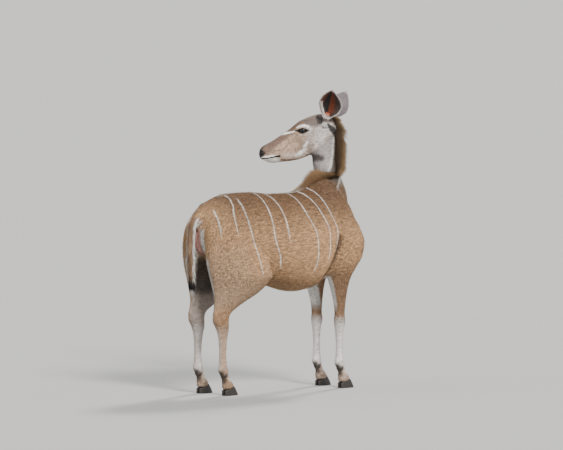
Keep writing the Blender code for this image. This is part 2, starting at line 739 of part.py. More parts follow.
def feet(body):
    """Dewclaws join each foot, the foot ends at the coronet, and two claws stand below it."""
    nubs, below = [], []
    for limb, (x, y) in FOOT_MIDDLE.items():
        for side, hand in ((1, "left"), (-1, "right")):
            lean = -0.02 if (limb, side) == ("hind", 1) else 0.0
            for inner in (False, True):
                out = side * (y + DEWCLAW[1] * (-1 if inner else 1))
                place = (x + lean + DEWCLAW[0], out, DEWCLAW[2])
                nubs.append(ball("dewclaw", place, ((0.010, 0, -0.004), (0, 0.008, 0), (0.004, 0, 0.013)), 6, 3))
                name = f"{limb}_{hand}_hoof_{'inner' if inner else 'outer'}"
                claw(name, side, (x + lean, y), inner)
            start = Vector((x + lean + CLAW_BACK, side * y, HEEL_HEIGHT))
            down = Vector((CORONET_SLOPE, 0, -1)).normalized()
            below.append(slab("coronet", start + down * 0.06, tuple(down), (0.15, 0.06), 0.12))
    boolean(body, nubs, "UNION")
    boolean(body, below, "DIFFERENCE")


def tail_and_stump(body):
    """The tail is a piece of its own below a slanted cut, and the stump above the cut stays on the body."""
    at, faces = Vector(TAIL_CUT[0]), Vector(TAIL_CUT[1]).normalized()
    tail = loft("tail", tail_rings())
    boolean(tail, [slab("above", at - faces * (0.12 - GAP / 2), tuple(faces), (0.15, 0.10), 0.24)], "DIFFERENCE")
    rings = []
    for across in (-0.05, 0.05):
        corners = []
        for x, lower in ((TAIL_FRONT, 0), (TAIL_BACK, 0), (TAIL_BACK, 1), (TAIL_FRONT, 1)):
            level = at.z - (faces.x * (x - at.x) + GAP / 2) / faces.z
            corners.append((x, across, 0.92 if lower else level))
        rings.append(corners)
    boolean(body, [loft("below", np.array(rings))], "DIFFERENCE")
    return tail


def crest_line(body, count):
    """Places along the crest on the skin: the place, the way out, the way along, and the height of the hair."""
    tree = BVHTree.FromPolygons(
        [v.co.copy() for v in body.data.vertices], [tuple(f.vertices) for f in body.data.polygons]
    )
    values = smooth_values(np.linspace(0, 1, len(CREST)), CREST, np.linspace(0, 1, count))
    heading, rise = np.radians(values[:, 3]), np.radians(values[:, 4])
    out = np.stack([np.cos(heading) * np.cos(rise), np.sin(heading) * np.cos(rise), np.sin(rise)], axis=-1)
    places = []
    for inside, way in zip(values[:, :3], out):
        hit = tree.ray_cast(Vector(inside + way * 0.5), Vector(-way), 0.7)[0]
        places.append(np.array(hit))
    places = np.array(places)
    along = np.gradient(places, axis=0)
    along /= np.linalg.norm(along, axis=1, keepdims=True)
    out -= along * (out * along).sum(1, keepdims=True)
    out /= np.linalg.norm(out, axis=1, keepdims=True)
    return places, out, along, values[:, 5]


def crest_core(line):
    """Low smooth ridge below the locks."""
    places, out, along, height = line
    side = np.cross(out, along)
    shape = ((-1.0, -1.0), (-1.0, 0.0), (-0.5, 0.7), (0.0, 1.0), (0.5, 0.7), (1.0, 0.0), (1.0, -1.0))
    rings = []
    for across, up in shape:
        lift = np.where(up < 0, -CREST_ROOT, up * height * CREST_CORE)
        rings.append(places + side * (across * CREST_HALF_WIDTH * 0.8) + out * lift[:, None])
    return loft("core", np.stack(rings, axis=1))


def lock(root, rise, lie, wide, length, width, thickness, curl):
    """Flat tapered tuft of hair: it starts along rise, bends over towards lie, and ends in a point."""
    thin = np.cross(rise, wide)
    thin /= np.linalg.norm(thin)
    shares = np.array([0.0, 0.40, 0.75, 1.0])
    middle = root + (rise * shares[:, None] + lie * (curl * shares**2)[:, None]) * length
    rings = []
    for share, place in zip((0.85, 1.0, 0.62), middle):
        a, b = wide * (width / 2 * share), thin * (thickness / 2 * share)
        rings.append([place + a, place + b, place - a, place - b])
    return loft("lock", np.array(rings), tip=middle[-1])


def crest_locks(line, draw):
    """Overlapping tufts down the nape and over the withers, leaning down the neck and a little to each side."""
    places, out, along, height = line
    side = np.cross(out, along)
    at = np.linspace(0, 1, len(places))
    locks = []
    for step in range(CREST_STEPS):
        for row in (-1.0, 1.0, 0.0):
            share = (step + (0.5 if row == 0 else 0.25 * row) + 0.3) / CREST_STEPS
            share = min(max(share + draw.uniform(-0.3, 0.3) / CREST_STEPS, 0.0), 1.0)
            place, way, down, across = (
                np.array([np.interp(share, at, values[:, k]) for k in range(3)])
                for values in (places, out, along, side)
            )
            tall = float(np.interp(share, at, height)) * draw.uniform(0.86, 1.04)
            if row == 0 and step % 2:
                continue
            rise = way + down * CREST_LEAN * draw.uniform(0.7, 1.1) + across * (row * 0.22 + draw.uniform(-0.08, 0.08))
            rise /= np.linalg.norm(rise)
            wide = down + across * draw.uniform(-0.6, 0.6)
            wide -= rise * (wide @ rise)
            wide /= np.linalg.norm(wide)
            curl = draw.uniform(0.20, 0.45)
            length = (tall + CREST_ROOT) / float((rise + down * curl) @ way)
            root = place - rise * CREST_ROOT + across * (row * CREST_HALF_WIDTH * 0.55)
            width = min(0.036, 0.018 + tall * 0.34) * draw.uniform(0.85, 1.15)
            locks.append(lock(root, rise, down, wide, length, width, width * 0.36, curl))
    return locks


def tail_locks(draw):
    """Tufts along both edges of the tail and round its tip, hanging down."""
    count = 60
    rings = tail_rings(count=count)
    middle = rings.mean(axis=1)
    across = rings[:, 0] - middle
    locks = []
    for step in range(TAIL_LOCKS):
        for side in (-1.0, 1.0):
            share = 0.30 + 0.68 * (step + 0.5 + 0.25 * side) / TAIL_LOCKS
            i = int(share * (count - 1))
            down = middle[min(i + 2, count - 1)] - middle[i]
            down /= np.linalg.norm(down)
            edge = across[i] / np.linalg.norm(across[i])
            rise = down + edge * side * draw.uniform(0.20, 0.42) + np.array([draw.uniform(-0.15, 0.05), 0, 0])
            rise /= np.linalg.norm(rise)
            wide = edge - rise * (edge @ rise)
            wide /= np.linalg.norm(wide)
            root = middle[i] + across[i] * side * 0.62
            length = 0.060 * draw.uniform(0.85, 1.15)
            locks.append(lock(root, rise, down, wide, length, 0.020, 0.009, draw.uniform(0.0, 0.2)))
    return locks


def cut_slabs():
    """One thin slab for each place where the body parts into nodes."""
    slabs = [slab("neck_cut", *NECK_CUT)]
    forward, leftward, upward = head_axes()
    faces = HEAD_CUT_FACES[0] * forward + HEAD_CUT_FACES[2] * upward
    slabs.append(slab("head_cut", on_head(*HEAD_CUT_AT), tuple(faces), HEAD_CUT_SPREAD))
    for limb, cuts in LEG_CUTS.items():
        (x, y), spread = LEG_CUT_PLACE[limb], LEG_CUT_SPREAD[limb]
        for side in (1, -1):
            for _, height in cuts:
                slabs.append(slab("leg_cut", (x, side * y, height), (0, 0, 1), spread))
    return slabs


def node_places():
    """A point inside each node of flesh."""
    places = {
        "torso": (-0.10, 0.0, 0.88),
        "neck": (0.40, 0.10, 1.30),
        "head": tuple(on_head(0.16, 0.0, -0.02)),
    }
    for name, (root, tip, _) in EARS.items():
        places[name] = tuple((on_head(*root) + on_head(*tip)) / 2)
    for limb, cuts in LEG_CUTS.items():
        x = FOOT_MIDDLE[limb][0]
        y = LEG_CUT_PLACE[limb][1]
        for side, hand in ((1, "left"), (-1, "right")):
            bounds = [height for _, height in cuts] + [0.03]
            for (part, height), low in zip(cuts, bounds[1:]):
                places[f"{limb}_{hand}_{part}"] = (x, side * y, (height + low) / 2)
    return places


def loose_parts(shape):
    """The separate closed surfaces of a mesh, as (volume, middle of its box, mesh)."""
    work = bmesh.new()
    work.from_mesh(shape.data)
    work.faces.ensure_lookup_table()
    work.verts.ensure_lookup_table()
    seen, found = set(), []
    for start in work.faces:
        if start.index in seen:
            continue
        stack, group = [start], []
        seen.add(start.index)
        while stack:
            face = stack.pop()
            group.append(face)
            for edge in face.edges:
                for other in edge.link_faces:
                    if other.index not in seen:
                        seen.add(other.index)
                        stack.append(other)
        found.append([face.index for face in group])
    results = []
    for group in found:
        points = {}
        for index in group:
            for vertex in work.faces[index].verts:
                points.setdefault(vertex.index, len(points))
        places = np.array([work.verts[i].co for i in points])
        faces = [[points[v.index] for v in work.faces[i].verts] for i in group]
        mesh = bpy.data.meshes.new("part")
        mesh.from_pydata(places.tolist(), [], faces)
        mesh.update()
        measure = bmesh.new()
        measure.from_mesh(mesh)
        results.append((measure.calc_volume(signed=True), (places.min(0) + places.max(0)) / 2, mesh))
        measure.free()
    work.free()
    return results


def part_into_nodes(body):
    """Gives each name the largest piece near its place."""
    boolean(body, cut_slabs(), "DIFFERENCE")
    places = node_places()
    names = list(places)
    spots = np.array([places[name] for name in names])
    best = {}
    for volume, middle, mesh in loose_parts(body):
        name = names[int(np.argmin(np.linalg.norm(spots - middle, axis=1)))]
        if volume > best.get(name, (0, None))[0]:
            best[name] = (volume, mesh)
    bpy.data.objects.remove(body)
    for name, (_, mesh) in best.items():
        node = bpy.data.objects.new(name, mesh)
        bpy.context.scene.collection.objects.link(node)


def add_ears(body):
    """Each ear grows from the head, then a thin cut near its root makes it a node."""
    cuts = []
    shells = []
    for name in EARS:
        shell, base, axis = ear_shell(name)
        shells.append(shell)
        cuts.append((name, base + axis * 0.020, axis))
    boolean(body, shells, "UNION")
    return cuts


def material_of(name, roughness, metallic=0.0):
    stuff = bpy.data.materials.new(name)
    stuff.use_nodes = True
    shader = stuff.node_tree.nodes["Principled BSDF"]
    shader.inputs["Base Color"].default_value = (*COLOURS[name], 1)
    shader.inputs["Roughness"].default_value = roughness
    shader.inputs["Metallic"].default_value = metallic
    return stuff


def finish_colours():
    """Each node takes the plain colour of its kind."""
    stuffs = {name: material_of(name, 0.25 if name in ("eye", "hoof") else 0.9) for name in COLOURS}
    for node in bpy.data.objects:
        kind = "coat"
        if "hoof" in node.name:
            kind = "hoof"
        elif "eye" in node.name:
            kind = "eye"
        elif "ear" in node.name and "forearm" not in node.name:
            kind = "ear"
        elif node.name in ("neck", "head"):
            kind = "neck"
        elif node.name.startswith(("front_", "hind_")):
            kind = "leg"
        node.data.materials.clear()
        node.data.materials.append(stuffs[kind])


def centre_on_floor():
    """Puts the origin below the middle of the whole box."""
    low = np.full(3, np.inf)
    high = np.full(3, -np.inf)
    for node in bpy.data.objects:
        points = vertex_array(node)
        low, high = np.minimum(low, points.min(0)), np.maximum(high, points.max(0))
    shift = Vector((-(low[0] + high[0]) / 2, -(low[1] + high[1]) / 2, -low[2]))
    for node in bpy.data.objects:
        node.data.transform(Matrix.Translation(shift))


def main():
    for shape in list(bpy.data.objects):
        bpy.data.objects.remove(shape)
    body = joined_body()
    add_eyes(body)
    boolean(body, [mouth_slit(), *nostrils()], "DIFFERENCE")
    draw = np.random.default_rng(LOCK_SEED)
    line = crest_line(body, 22)
    ear_cuts = add_ears(body)
    boolean(body, [crest_core(line), *crest_locks(line, draw)], "UNION")
    feet(body)
    tail = tail_and_stump(body)
    boolean(tail, tail_locks(draw), "UNION")
    boolean(body, [slab("ear_cut", tuple(at), tuple(axis), (0.045, 0.045)) for _, at, axis in ear_cuts], "DIFFERENCE")
    part_into_nodes(body)
    finish_colours()
    centre_on_floor()


main()
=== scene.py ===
"""Looks of the greater kudu cow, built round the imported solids.

Metres, +Z up. The named sizes are those of the part's source, in the animal's own frame: it heads along +X
and its left side is +Y. One shift takes a finished piece from there to the frame of the pack. Tables of
places and strokes are in millimetres.
"""

import math

import bmesh
import bpy
import numpy as np
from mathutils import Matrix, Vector
from mathutils.bvhtree import BVHTree


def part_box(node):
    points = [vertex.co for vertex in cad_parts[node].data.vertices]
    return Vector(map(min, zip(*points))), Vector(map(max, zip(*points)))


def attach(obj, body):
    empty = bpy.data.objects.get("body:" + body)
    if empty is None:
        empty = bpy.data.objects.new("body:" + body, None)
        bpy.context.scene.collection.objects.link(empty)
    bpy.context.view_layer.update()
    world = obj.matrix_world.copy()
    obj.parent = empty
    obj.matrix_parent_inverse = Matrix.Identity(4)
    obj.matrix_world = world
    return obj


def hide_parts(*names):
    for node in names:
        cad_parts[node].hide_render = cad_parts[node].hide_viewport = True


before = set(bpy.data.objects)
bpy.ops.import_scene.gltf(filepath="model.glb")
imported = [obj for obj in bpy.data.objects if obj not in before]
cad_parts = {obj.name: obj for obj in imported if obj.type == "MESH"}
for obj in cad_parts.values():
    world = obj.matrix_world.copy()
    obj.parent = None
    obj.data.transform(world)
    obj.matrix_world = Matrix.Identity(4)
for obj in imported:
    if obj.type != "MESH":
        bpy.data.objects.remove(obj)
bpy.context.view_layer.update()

SEED = 11
SHARE = 1.0  # of the hairs that are made
VOXEL = 0.0085
SMOOTH_REACH = 0.0281  # voxel times the root of the number of smoothing steps
SMOOTHING = 0.6
MM = 1000
LINE_UNITS = (MM, MM, MM, 1, 1, MM, MM)  # of the columns of the neck's and the crest's tables
SIDES = ((1, "left"), (-1, "right"))

# Trunk stations: along, top, belly, half width, height of the widest place
TRUNK = np.array([
    (-645, 985, 905, 35, 950), (-625, 1050, 850, 95, 960), (-580, 1105, 805, 140, 965),
    (-500, 1150, 765, 175, 965), (-400, 1177, 725, 194, 955), (-280, 1180, 680, 208, 920),
    (-100, 1163, 615, 240, 850), (50, 1163, 580, 250, 825), (150, 1187, 594, 236, 835),
    (230, 1225, 630, 208, 860), (300, 1242, 668, 178, 880), (360, 1205, 690, 160, 895),
    (420, 1130, 716, 146, 905), (470, 1045, 755, 115, 905), (510, 965, 815, 70, 890),
    (523, 915, 850, 28, 880),
]) / MM

# Leg stations: height, back edge, front edge, inner edge, outer edge
FRONT_LEG = np.array([
    (1170, 250, 315, 30, 85), (1120, 235, 355, 30, 128), (1050, 225, 405, 40, 165),
    (950, 218, 470, 45, 190),
    (860, 212, 503, 50, 197), (780, 210, 490, 55, 190), (710, 226, 448, 60, 174), (650, 250, 410, 66, 161),
    (580, 275, 388, 74, 150), (500, 297, 376, 80, 140), (440, 304, 371, 82, 136), (400, 301, 375, 78, 138),
    (365, 304, 369, 82, 134), (320, 310, 361, 86, 130), (240, 314, 358, 88, 128), (185, 311, 361, 86, 130),
    (152, 304, 367, 81, 135), (120, 318, 372, 85, 131), (92, 331, 387, 84, 132), (60, 330, 408, 79, 137),
    (36, 334, 404, 83, 133),
]) / MM
HIND_LEG = np.array([
    (1120, -535, -310, 20, 135), (1040, -600, -250, 12, 172), (950, -640, -205, 10, 194),
    (860, -648, -175, 10, 200), (780, -640, -155, 18, 197), (715, -626, -160, 30, 188),
    (660, -612, -190, 42, 177), (600, -598, -262, 55, 164), (550, -592, -360, 66, 150),
    (510, -595, -436, 76, 141), (475, -604, -480, 80, 138), (440, -602, -490, 78, 139),
    (400, -582, -489, 79, 138), (360, -567, -497, 84, 134), (310, -559, -505, 87, 131),
    (240, -556, -509, 88, 130), (185, -557, -506, 86, 132), (152, -562, -497, 81, 136),
    (120, -548, -492, 85, 132), (92, -535, -477, 84, 133), (60, -534, -456, 80, 138),
    (36, -530, -460, 84, 134),
]) / MM
LEFT_HIND_REACH = -0.02  # the left hind hoof stands this far behind the right one

# Neck stations: x, y, z of the middle, nape heading and rise in degrees, half depth, half width
NECK = np.array([
    (260, 0, 950, 180, 48, 185, 120), (335, 6, 1050, 184, 45, 155, 110), (380, 28, 1150, 208, 36, 115, 90),
    (388, 70, 1235, 250, 20, 90, 74), (395, 104, 1310, 289, 8, 78, 63), (406, 124, 1380, 310, 2, 77, 58),
    (418, 136, 1450, 320, 0, 73, 56), (423, 140, 1505, 322, 6, 66, 55),
]) / LINE_UNITS

# Head stations along the skull's axis: along, top, bottom, height of the widest place, half width
HEAD = np.array([
    (-66, 30, -30, 0, 26), (-54, 58, -52, 10, 43), (-25, 83, -72, 20, 55), (20, 96, -88, 28, 60),
    (70, 99, -103, 30, 63), (120, 96, -115, 28, 63), (155, 87, -119, 18, 59), (190, 75, -119, 4, 52),
    (240, 61, -113, -12, 45), (285, 50, -102, -18, 41), (320, 42, -92, -20, 39), (350, 38, -85, -20, 39),
    (378, 34, -73, -16, 37), (400, 24, -53, -14, 32), (414, 6, -38, -14, 21), (420, -8, -26, -16, 10),
]) / MM
HEAD_PLACE = np.array((0.422, 0.139, 1.518))
HEAD_HEADING = math.radians(142)
HEAD_DROP = math.radians(20.9)
ROUND_ABOVE, ROUND_BELOW = 2.3, 1.9  # powers of the head's section over and under its widest place

# Bumps on the head's sides: along, height, reach along, reach up, how far they stand out
HEAD_BUMPS = np.array([
    (128, 52, 32, 20, 12),  # brow
    (128, 14, 34, 14, 7),  # under the eye
    (100, -50, 45, 35, 8),  # cheek
    (215, -15, 50, 20, -4),  # hollow before the eye
    (388, 4, 18, 16, 6),  # nostril wing
    (370, -50, 30, 14, 4),  # lips
    (-5, 45, 22, 22, 8),  # ear root
]) / MM

# Places on the head: along, height
MOUTH = np.array([(308, -60), (340, -50), (373, -44), (400, -37), (420, -33)]) / MM
NOSTRIL = (0.397, 0.006)
EYE = (0.124, 0.036)
EYE_RADIUS = 0.0225
EYE_SUNK = 0.72  # of the ball's radius lies behind the head's side
OPENING_MIDDLE = (0.126, 0.0380)  # of the lids
OPENING = (0.0285, 0.0122)  # half length, half height
OPENING_TILT = math.radians(20)  # the front corner lies higher

# Tail stations: x, y, z, half width, half thickness
TAIL = np.array([
    (-575, 0, 1055, 34, 24), (-632, 0, 1045, 32, 22), (-668, 2, 995, 31, 17), (-679, 3, 920, 33, 13),
    (-681, 4, 840, 34, 12), (-679, 6, 760, 30, 11), (-675, 8, 700, 18, 9), (-672, 9, 672, 7, 6),
]) / MM
TAIL_STUMP = 0.36  # share of the tail's length that grows out of the body's own mesh
TAIL_CORE = 0.70  # of the tail's width that is flesh

# Ear stations: percent of the length, half angle of the wall in degrees, half width, depth of the cup
EAR = np.array([
    (0, 150, 20, 19), (10, 146, 24, 23), (22, 122, 39, 31), (38, 98, 59, 37), (52, 86, 68, 36),
    (66, 79, 62, 30), (80, 72, 46, 22), (92, 64, 24, 12), (100, 58, 5, 3),
]) / (100, 1, MM, MM)
EAR_WALL = 0.0040
EAR_COAT = 0.0024  # depth of the coat on the ear
EAR_SPREAD = 0.24  # how much wider the rear half of each cup is
EAR_BEND = 0.10  # times the length and the square of how far the share is from a half
# Each ear: root and tip on the head as along, left, up, then the way its back faces
EARS = {
    "left_ear": ((-0.022, 0.050, 0.040), (-0.126, 0.148, 0.205), (-0.25, -1.0, 0.10)),
    "right_ear": ((-0.022, -0.050, 0.040), (-0.198, -0.112, 0.156), (-0.30, 1.0, 0.30)),
}

FOOT_MIDDLE = {"front": (0.371, 0.108), "hind": (-0.493, 0.109)}
HEEL_HEIGHT = 0.028
CORONET_SLOPE = 0.40
CLAW_GAP = 0.003
CLAW_BACK = -0.034  # from the middle of the foot
CLAW_TOE = 0.067
CLAW_CORONET = 0.036
CLAW_WIDTH = 0.0255
CLAW_SHARES = (0.0, 0.04, 0.12, 0.22, 0.32, 0.42, 0.52, 0.62, 0.72, 0.82, 0.92, 1.0)  # of its height
DEWCLAW = (-0.030, 0.017, 0.118)
DEWCLAW_AXES = np.array([(0.0105, 0, -0.004), (0, 0.0085, 0), (0.004, 0, 0.0135)])

# Crest stations, from the poll down the nape and over the withers: a point inside, the heading and the rise
# of the way out, both in degrees, how far the hair stands up, and half the width that it grows on
CREST = np.array([
    (436, 128, 1560, 322, 52, 34, 14), (430, 134, 1505, 322, 14, 54, 15), (418, 136, 1450, 320, 4, 60, 16),
    (406, 124, 1380, 310, 4, 60, 16), (395, 104, 1310, 300, 6, 54, 16), (388, 74, 1235, 276, 18, 42, 18),
    (375, 40, 1160, 234, 50, 44, 24), (325, 8, 1110, 198, 74, 58, 34), (265, 0, 1090, 180, 86, 56, 34),
    (205, 0, 1070, 180, 88, 38, 26), (145, 0, 1050, 180, 88, 24, 18), (90, 0, 1040, 180, 88, 12, 12),
]) / LINE_UNITS

# White stripes down each side, from the rump forwards: where each lies at five heights, then the heights
# that it ends at below and above
STRIPE_HEIGHTS = np.array((0.65, 0.80, 0.92, 1.05, 1.18))
STRIPES = np.array([
    (-560, -575, -585, -580, -530, 930, 1090), (-455, -465, -475, -485, -436, 940, 1300),
    (-252, -324, -373, -408, -425, 640, 1150), (-150, -180, -222, -232, -246, 730, 1300),
    (-85, -110, -132, -141, -166, 880, 1300), (40, 78, 74, 28, 5, 690, 1300),
    (120, 176, 184, 139, 86, 740, 1300), (200, 232, 264, 206, 155, 810, 1300),
]) / MM
STRIPE_HALF = 0.0029

# Strokes of colour: x or along, height, half width. The last stands on the trunk, the others on the head
BEHIND_EAR = [(-26, 18, 4), (-40, -18, 15), (-49, -60, 10), (-44, -100, 1)]
# The throat stroke is painted shadow where the jaw meets the throat
THROAT_SHADE = [(160, -128, 4), (128, -132, 10), (100, -138, 12), (80, -150, 8)]
JAW_EDGE = [(52, -50, 2), (84, -90, 3), (131, -124, 2)]
EYE_CORNER = [(150, 47, 3), (170, 53, 1.2)]
FOLDS = [
    [(321, -16, 0), (300, -24, 0), (277, -28, 0.5), (253, -21, 0.5), (236, -10, 0), (223, 6, 0)],
    [(229, 33, 0), (224, 17, 0), (226, 4, 0)],
]
# Elbow crease: pressed into the skin, and darkened in the coat as painted shade
ELBOW_FOLD = [(290, 900, 0), (268, 840, 2), (240, 765, 4), (212, 705, 4), (190, 670, 1)]

# Colours, linear
TAWNY = (0.600, 0.368, 0.198)
SADDLE = (0.175, 0.098, 0.054)
PALE = (0.520, 0.430, 0.350)
GREY = (0.480, 0.440, 0.425)
CHEEK = (0.465, 0.408, 0.378)
FACE = (0.410, 0.290, 0.212)
RUST = (0.075, 0.038, 0.022)
WHITE = (0.820, 0.800, 0.770)
DARK = (0.024, 0.021, 0.021)
BLACK = (0.012, 0.011, 0.011)
ARM = (0.240, 0.140, 0.080)
THIGH = (0.450, 0.310, 0.205)
CANNON = (0.80, 0.76, 0.74)
EAR_INSIDE = (0.050, 0.024, 0.015)
PINK = (0.740, 0.400, 0.340)
# Dark root colour of the mane: painted shade within the mane
CREST_SHADED_ROOT = (0.060, 0.036, 0.020)
CREST_TIP = (0.360, 0.225, 0.100)
HUMP_TIP = (0.400, 0.235, 0.115)
HORN_DARK, HORN_PALE = (0.009, 0.008, 0.008), (0.038, 0.031, 0.026)
LID_DARK, LID_PALE = (0.008, 0.007, 0.007), (0.022, 0.018, 0.016)
FLOOR_DARK, FLOOR_PALE = (0.315, 0.315, 0.31), (0.33, 0.33, 0.325)

# Marks on the side of the head, some of them painted shade: a stroke, how soft its edge is, colour,
# strength
FACE_MARKS = [
    ([(-10, 55, 6), (40, 50, 8), (75, 66, 5)], 28, (0.130, 0.103, 0.093), 0.88),
    ([(60, 20, 2), (75, 0, 3)], 18, (0.27, 0.215, 0.185), 0.50),
    ([(190, 50, 3), (300, 28, 6), (370, 12, 8)], 26, (0.155, 0.100, 0.075), 0.85),
    ([(240, 32, 1), (310, 12, 2), (360, -4, 4)], 10, (0.13, 0.085, 0.065), 0.50),
    ([(330, -6, 4), (370, -18, 4)], 16, (0.16, 0.11, 0.09), 0.50),
    ([(170, 20, 3), (205, 10, 3)], 20, (0.30, 0.21, 0.155), 0.50),
    ([(100, -80, 12), (190, -98, 6), (270, -66, 6)], 26, (0.62, 0.51, 0.45), 0.65),
    ([(165, -20, 3), (150, -34, 4), (175, -60, 5)], 18, (0.23, 0.160, 0.12), 0.65),
    ([(112, -20, 6), (112, -60, 8), (130, -90, 6)], 22, (0.30, 0.235, 0.20), 0.55),
    ([(30, -10, 12), (50, -60, 12), (75, -85, 4)], 34, (0.60, 0.57, 0.56), 0.45),
    ([(165, 66, 1), (145, 76, 2), (110, 76, 2)], 7, (0.22, 0.15, 0.11), 0.55),
    ([(152, 66, 1), (134, 68, 3.5), (108, 64, 4.5), (87, 50, 4.5), (81, 34, 2)], 4.5, WHITE, 0.85),
    ([(148, 22, 1), (123, 9, 3), (98, 14, 1)], 6, PALE, 0.75),
    ([(166, 52.5, 0.8), (184, 50, 2), (211, 54.5, 3.8), (252, 62, 6.2)], 2.8, WHITE, 1.0),
    ([(121, -29, 1.2), (128, -37, 4.5), (138, -45, 6.2), (154, -53, 4)], 3.5, WHITE, 1.0),
    ([(149, -67, 3.5), (166, -74, 8.5), (190, -82, 10.5), (205, -84, 6), (220, -88, 2)], 4, WHITE, 1.0),
    # painted shadow along the jaw's lower edge
    ([(306, -81, 1), (262, -102, 3), (206, -118, 3), (158, -122, 3)], 10, (0.12, 0.085, 0.065), 0.70),
    # painted shadow at the back of the jaw, over the throat
    ([(150, -118, 5), (100, -116, 7), (78, -98, 1)], 16, (0.060, 0.045, 0.036), 0.85),
    # the face's two creases darkened as painted shade
    (FOLDS[0], 4.2, (0.16, 0.10, 0.075), 0.75),
    (FOLDS[1], 3.8, (0.20, 0.13, 0.10), 0.55),
    ([(20, 74, 6), (10, 52, 12)], 8, (0.032, 0.027, 0.025), 0.95),
    ([(-8, 30, 6), (-12, 4, 7)], 10, (0.55, 0.52, 0.52), 0.85),
    ([(378, -43, 1.8), (333, -50, 3.2), (308.5, -55.5, 5.5)], 3, BLACK, 1.0),
]

# Hair
COAT_TUFTS = 262000
TUFTS_IN_A_PIECE = 48000  # at most
CREST_HAIRS = 11500
CREST_GROWTH = 1.16  # the render's hair over the height of the solid crest
FRINGE_HAIRS = 2600
TAIL_HAIRS = 3000
EAR_HAIRS = 1500
LASH_HAIRS = 150
PATCH = 0.003  # of the bake's map for each tuft

# The camera and the lamps: name, place, spread in degrees, strength, colour
CAMERA_TURN = math.radians(38)  # of the body away from the picture's plane
CAMERA_DROP = math.radians(4)
CAMERA_AWAY = 60.0
FILM = 36
PIXELS_PER_METRE = 170.0
PICTURE = (563, 450)
ORIGIN_PIXEL = (283.0, 389.8)  # where the origin of the animal's own frame shows
LAMPS = (
    ("key", (-1.2, -6.2, 4.4), 16, 5.6, (1.0, 0.965, 0.91)),
    ("rim", (5.0, 2.6, 4.6), 10, 3.8, (1.0, 0.97, 0.92)),
    ("fill", (-6.0, 2.0, 3.0), 50, 1.1, (0.92, 0.96, 1.0)),
)


# Curves and surfaces


def smooth_values(knots, values, at):
    """Monotone cubic through the stations: p(s) = v0 h00 + t0 h10 + v1 h01 + t1 h11 in each span."""
    step = np.diff(knots)[:, None]
    slope = np.diff(values, axis=0) / step
    product, total = slope[:-1] * slope[1:], slope[:-1] + slope[1:]
    middle = np.where(product > 0, 2 * product / np.where(total == 0, 1, total), 0)
    tangent = np.vstack([slope[:1], middle, slope[-1:]])
    at = np.clip(at, knots[0], knots[-1])
    i = np.clip(np.searchsorted(knots, at, side="right") - 1, 0, len(knots) - 2)
    h = step[i]
    s = (at - knots[i])[:, None] / h
    start = values[i] * (2 * s**3 - 3 * s**2 + 1) + tangent[i] * h * (s**3 - 2 * s**2 + s)
    return start + values[i + 1] * (3 * s**2 - 2 * s**3) + tangent[i + 1] * h * (s**3 - s**2)


def stations(table, at):
    """Each further column of a table as a smooth curve over its first one."""
    return smooth_values(table[:, 0], table[:, 1:], at).T


def line_values(table, shares):
    """All columns of a table as smooth curves over the share of its rows, from 0 to 1."""
    return smooth_values(np.linspace(0, 1, len(table)), table, shares)


def fade(low, high, value):
    """0 below low, 1 above high, 3s^2 - 2s^3 between. With low above high it falls instead."""
    s = np.clip((value - low) / (high - low), 0, 1)
    return s * s * (3 - 2 * s)


def bell(value, middle, reach):
    """exp(-((value - middle) / reach)^2)."""
    return np.exp(-(((value - middle) / reach) ** 2))


def within(value, low, span):
    """(value - low) / span, held between 0 and 1."""
    return np.clip((value - low) / span, 0, 1)


def unit(vectors):
    """Each vector over its own length."""
    return vectors / np.maximum(np.linalg.norm(vectors, axis=-1, keepdims=True), 1e-12)


def square_to(vectors, way):
    """Unit vectors without the part of them that lies along the way."""
    return unit(vectors - way * (vectors * way).sum(-1, keepdims=True))


def directions(heading, rise):
    """Unit vectors from a heading about +Z and a rise above the level, in degrees."""
    heading, rise = np.radians(heading), np.radians(rise)
    return np.stack([np.cos(heading) * np.cos(rise), np.sin(heading) * np.cos(rise), np.sin(rise)], axis=-1)


def far(points, place):
    """Distance of points from a place, or each from a place of its own."""
    return np.linalg.norm(points - place, axis=1)


def round_angles(count):
    """Equal steps round one turn, from 0."""
    return 2 * np.pi * np.arange(count) / count


def power_ring(turns, roundness):
    """cos and sin of a superellipse: sign(cos) |cos|^(2/n), sign(sin) |sin|^(2/n)."""
    c, s = np.cos(round_angles(turns)), np.sin(round_angles(turns))
    return np.sign(c) * np.abs(c) ** (2 / roundness), np.sign(s) * np.abs(s) ** (2 / roundness)


def ovals(middle, first, second, reach, half, turns):
    """Rings about a middle line: middle + first reach cos + second half sin."""
    c, s = np.cos(round_angles(turns)), np.sin(round_angles(turns))
    across = first[..., None, :] * (reach[:, None] * c)[..., None]
    return middle[:, None] + across + second[..., None, :] * (half[:, None] * s)[..., None]


def ball(polar, turns):
    """sin p cos a, sin p sin a and cos p, for p down from the pole and a round the axis."""
    polar, angle = polar[:, None], round_angles(turns)[None, :]
    return np.sin(polar) * np.cos(angle), np.sin(polar) * np.sin(angle), np.cos(polar) + 0 * angle


def in_scene(name, data):
    """New object of the data, at the origin."""
    thing = bpy.data.objects.new(name, data)
    bpy.context.scene.collection.objects.link(thing)
    return thing


def mesh_object(name, points, faces):
    """Object from points (n, 3) and faces (m, k), all with k corners."""
    mesh = bpy.data.meshes.new(name)
    faces = np.ascontiguousarray(faces, dtype=np.int32)
    count, corners = faces.shape
    mesh.vertices.add(len(points))
    mesh.vertices.foreach_set("co", np.ascontiguousarray(points, dtype=np.float32).ravel())
    mesh.loops.add(count * corners)
    mesh.loops.foreach_set("vertex_index", faces.ravel())
    mesh.polygons.add(count)
    mesh.polygons.foreach_set("loop_start", np.arange(0, count * corners, corners, dtype=np.int32))
    mesh.update(calc_edges=True)
    mesh.shade_smooth()
    return in_scene(name, mesh)


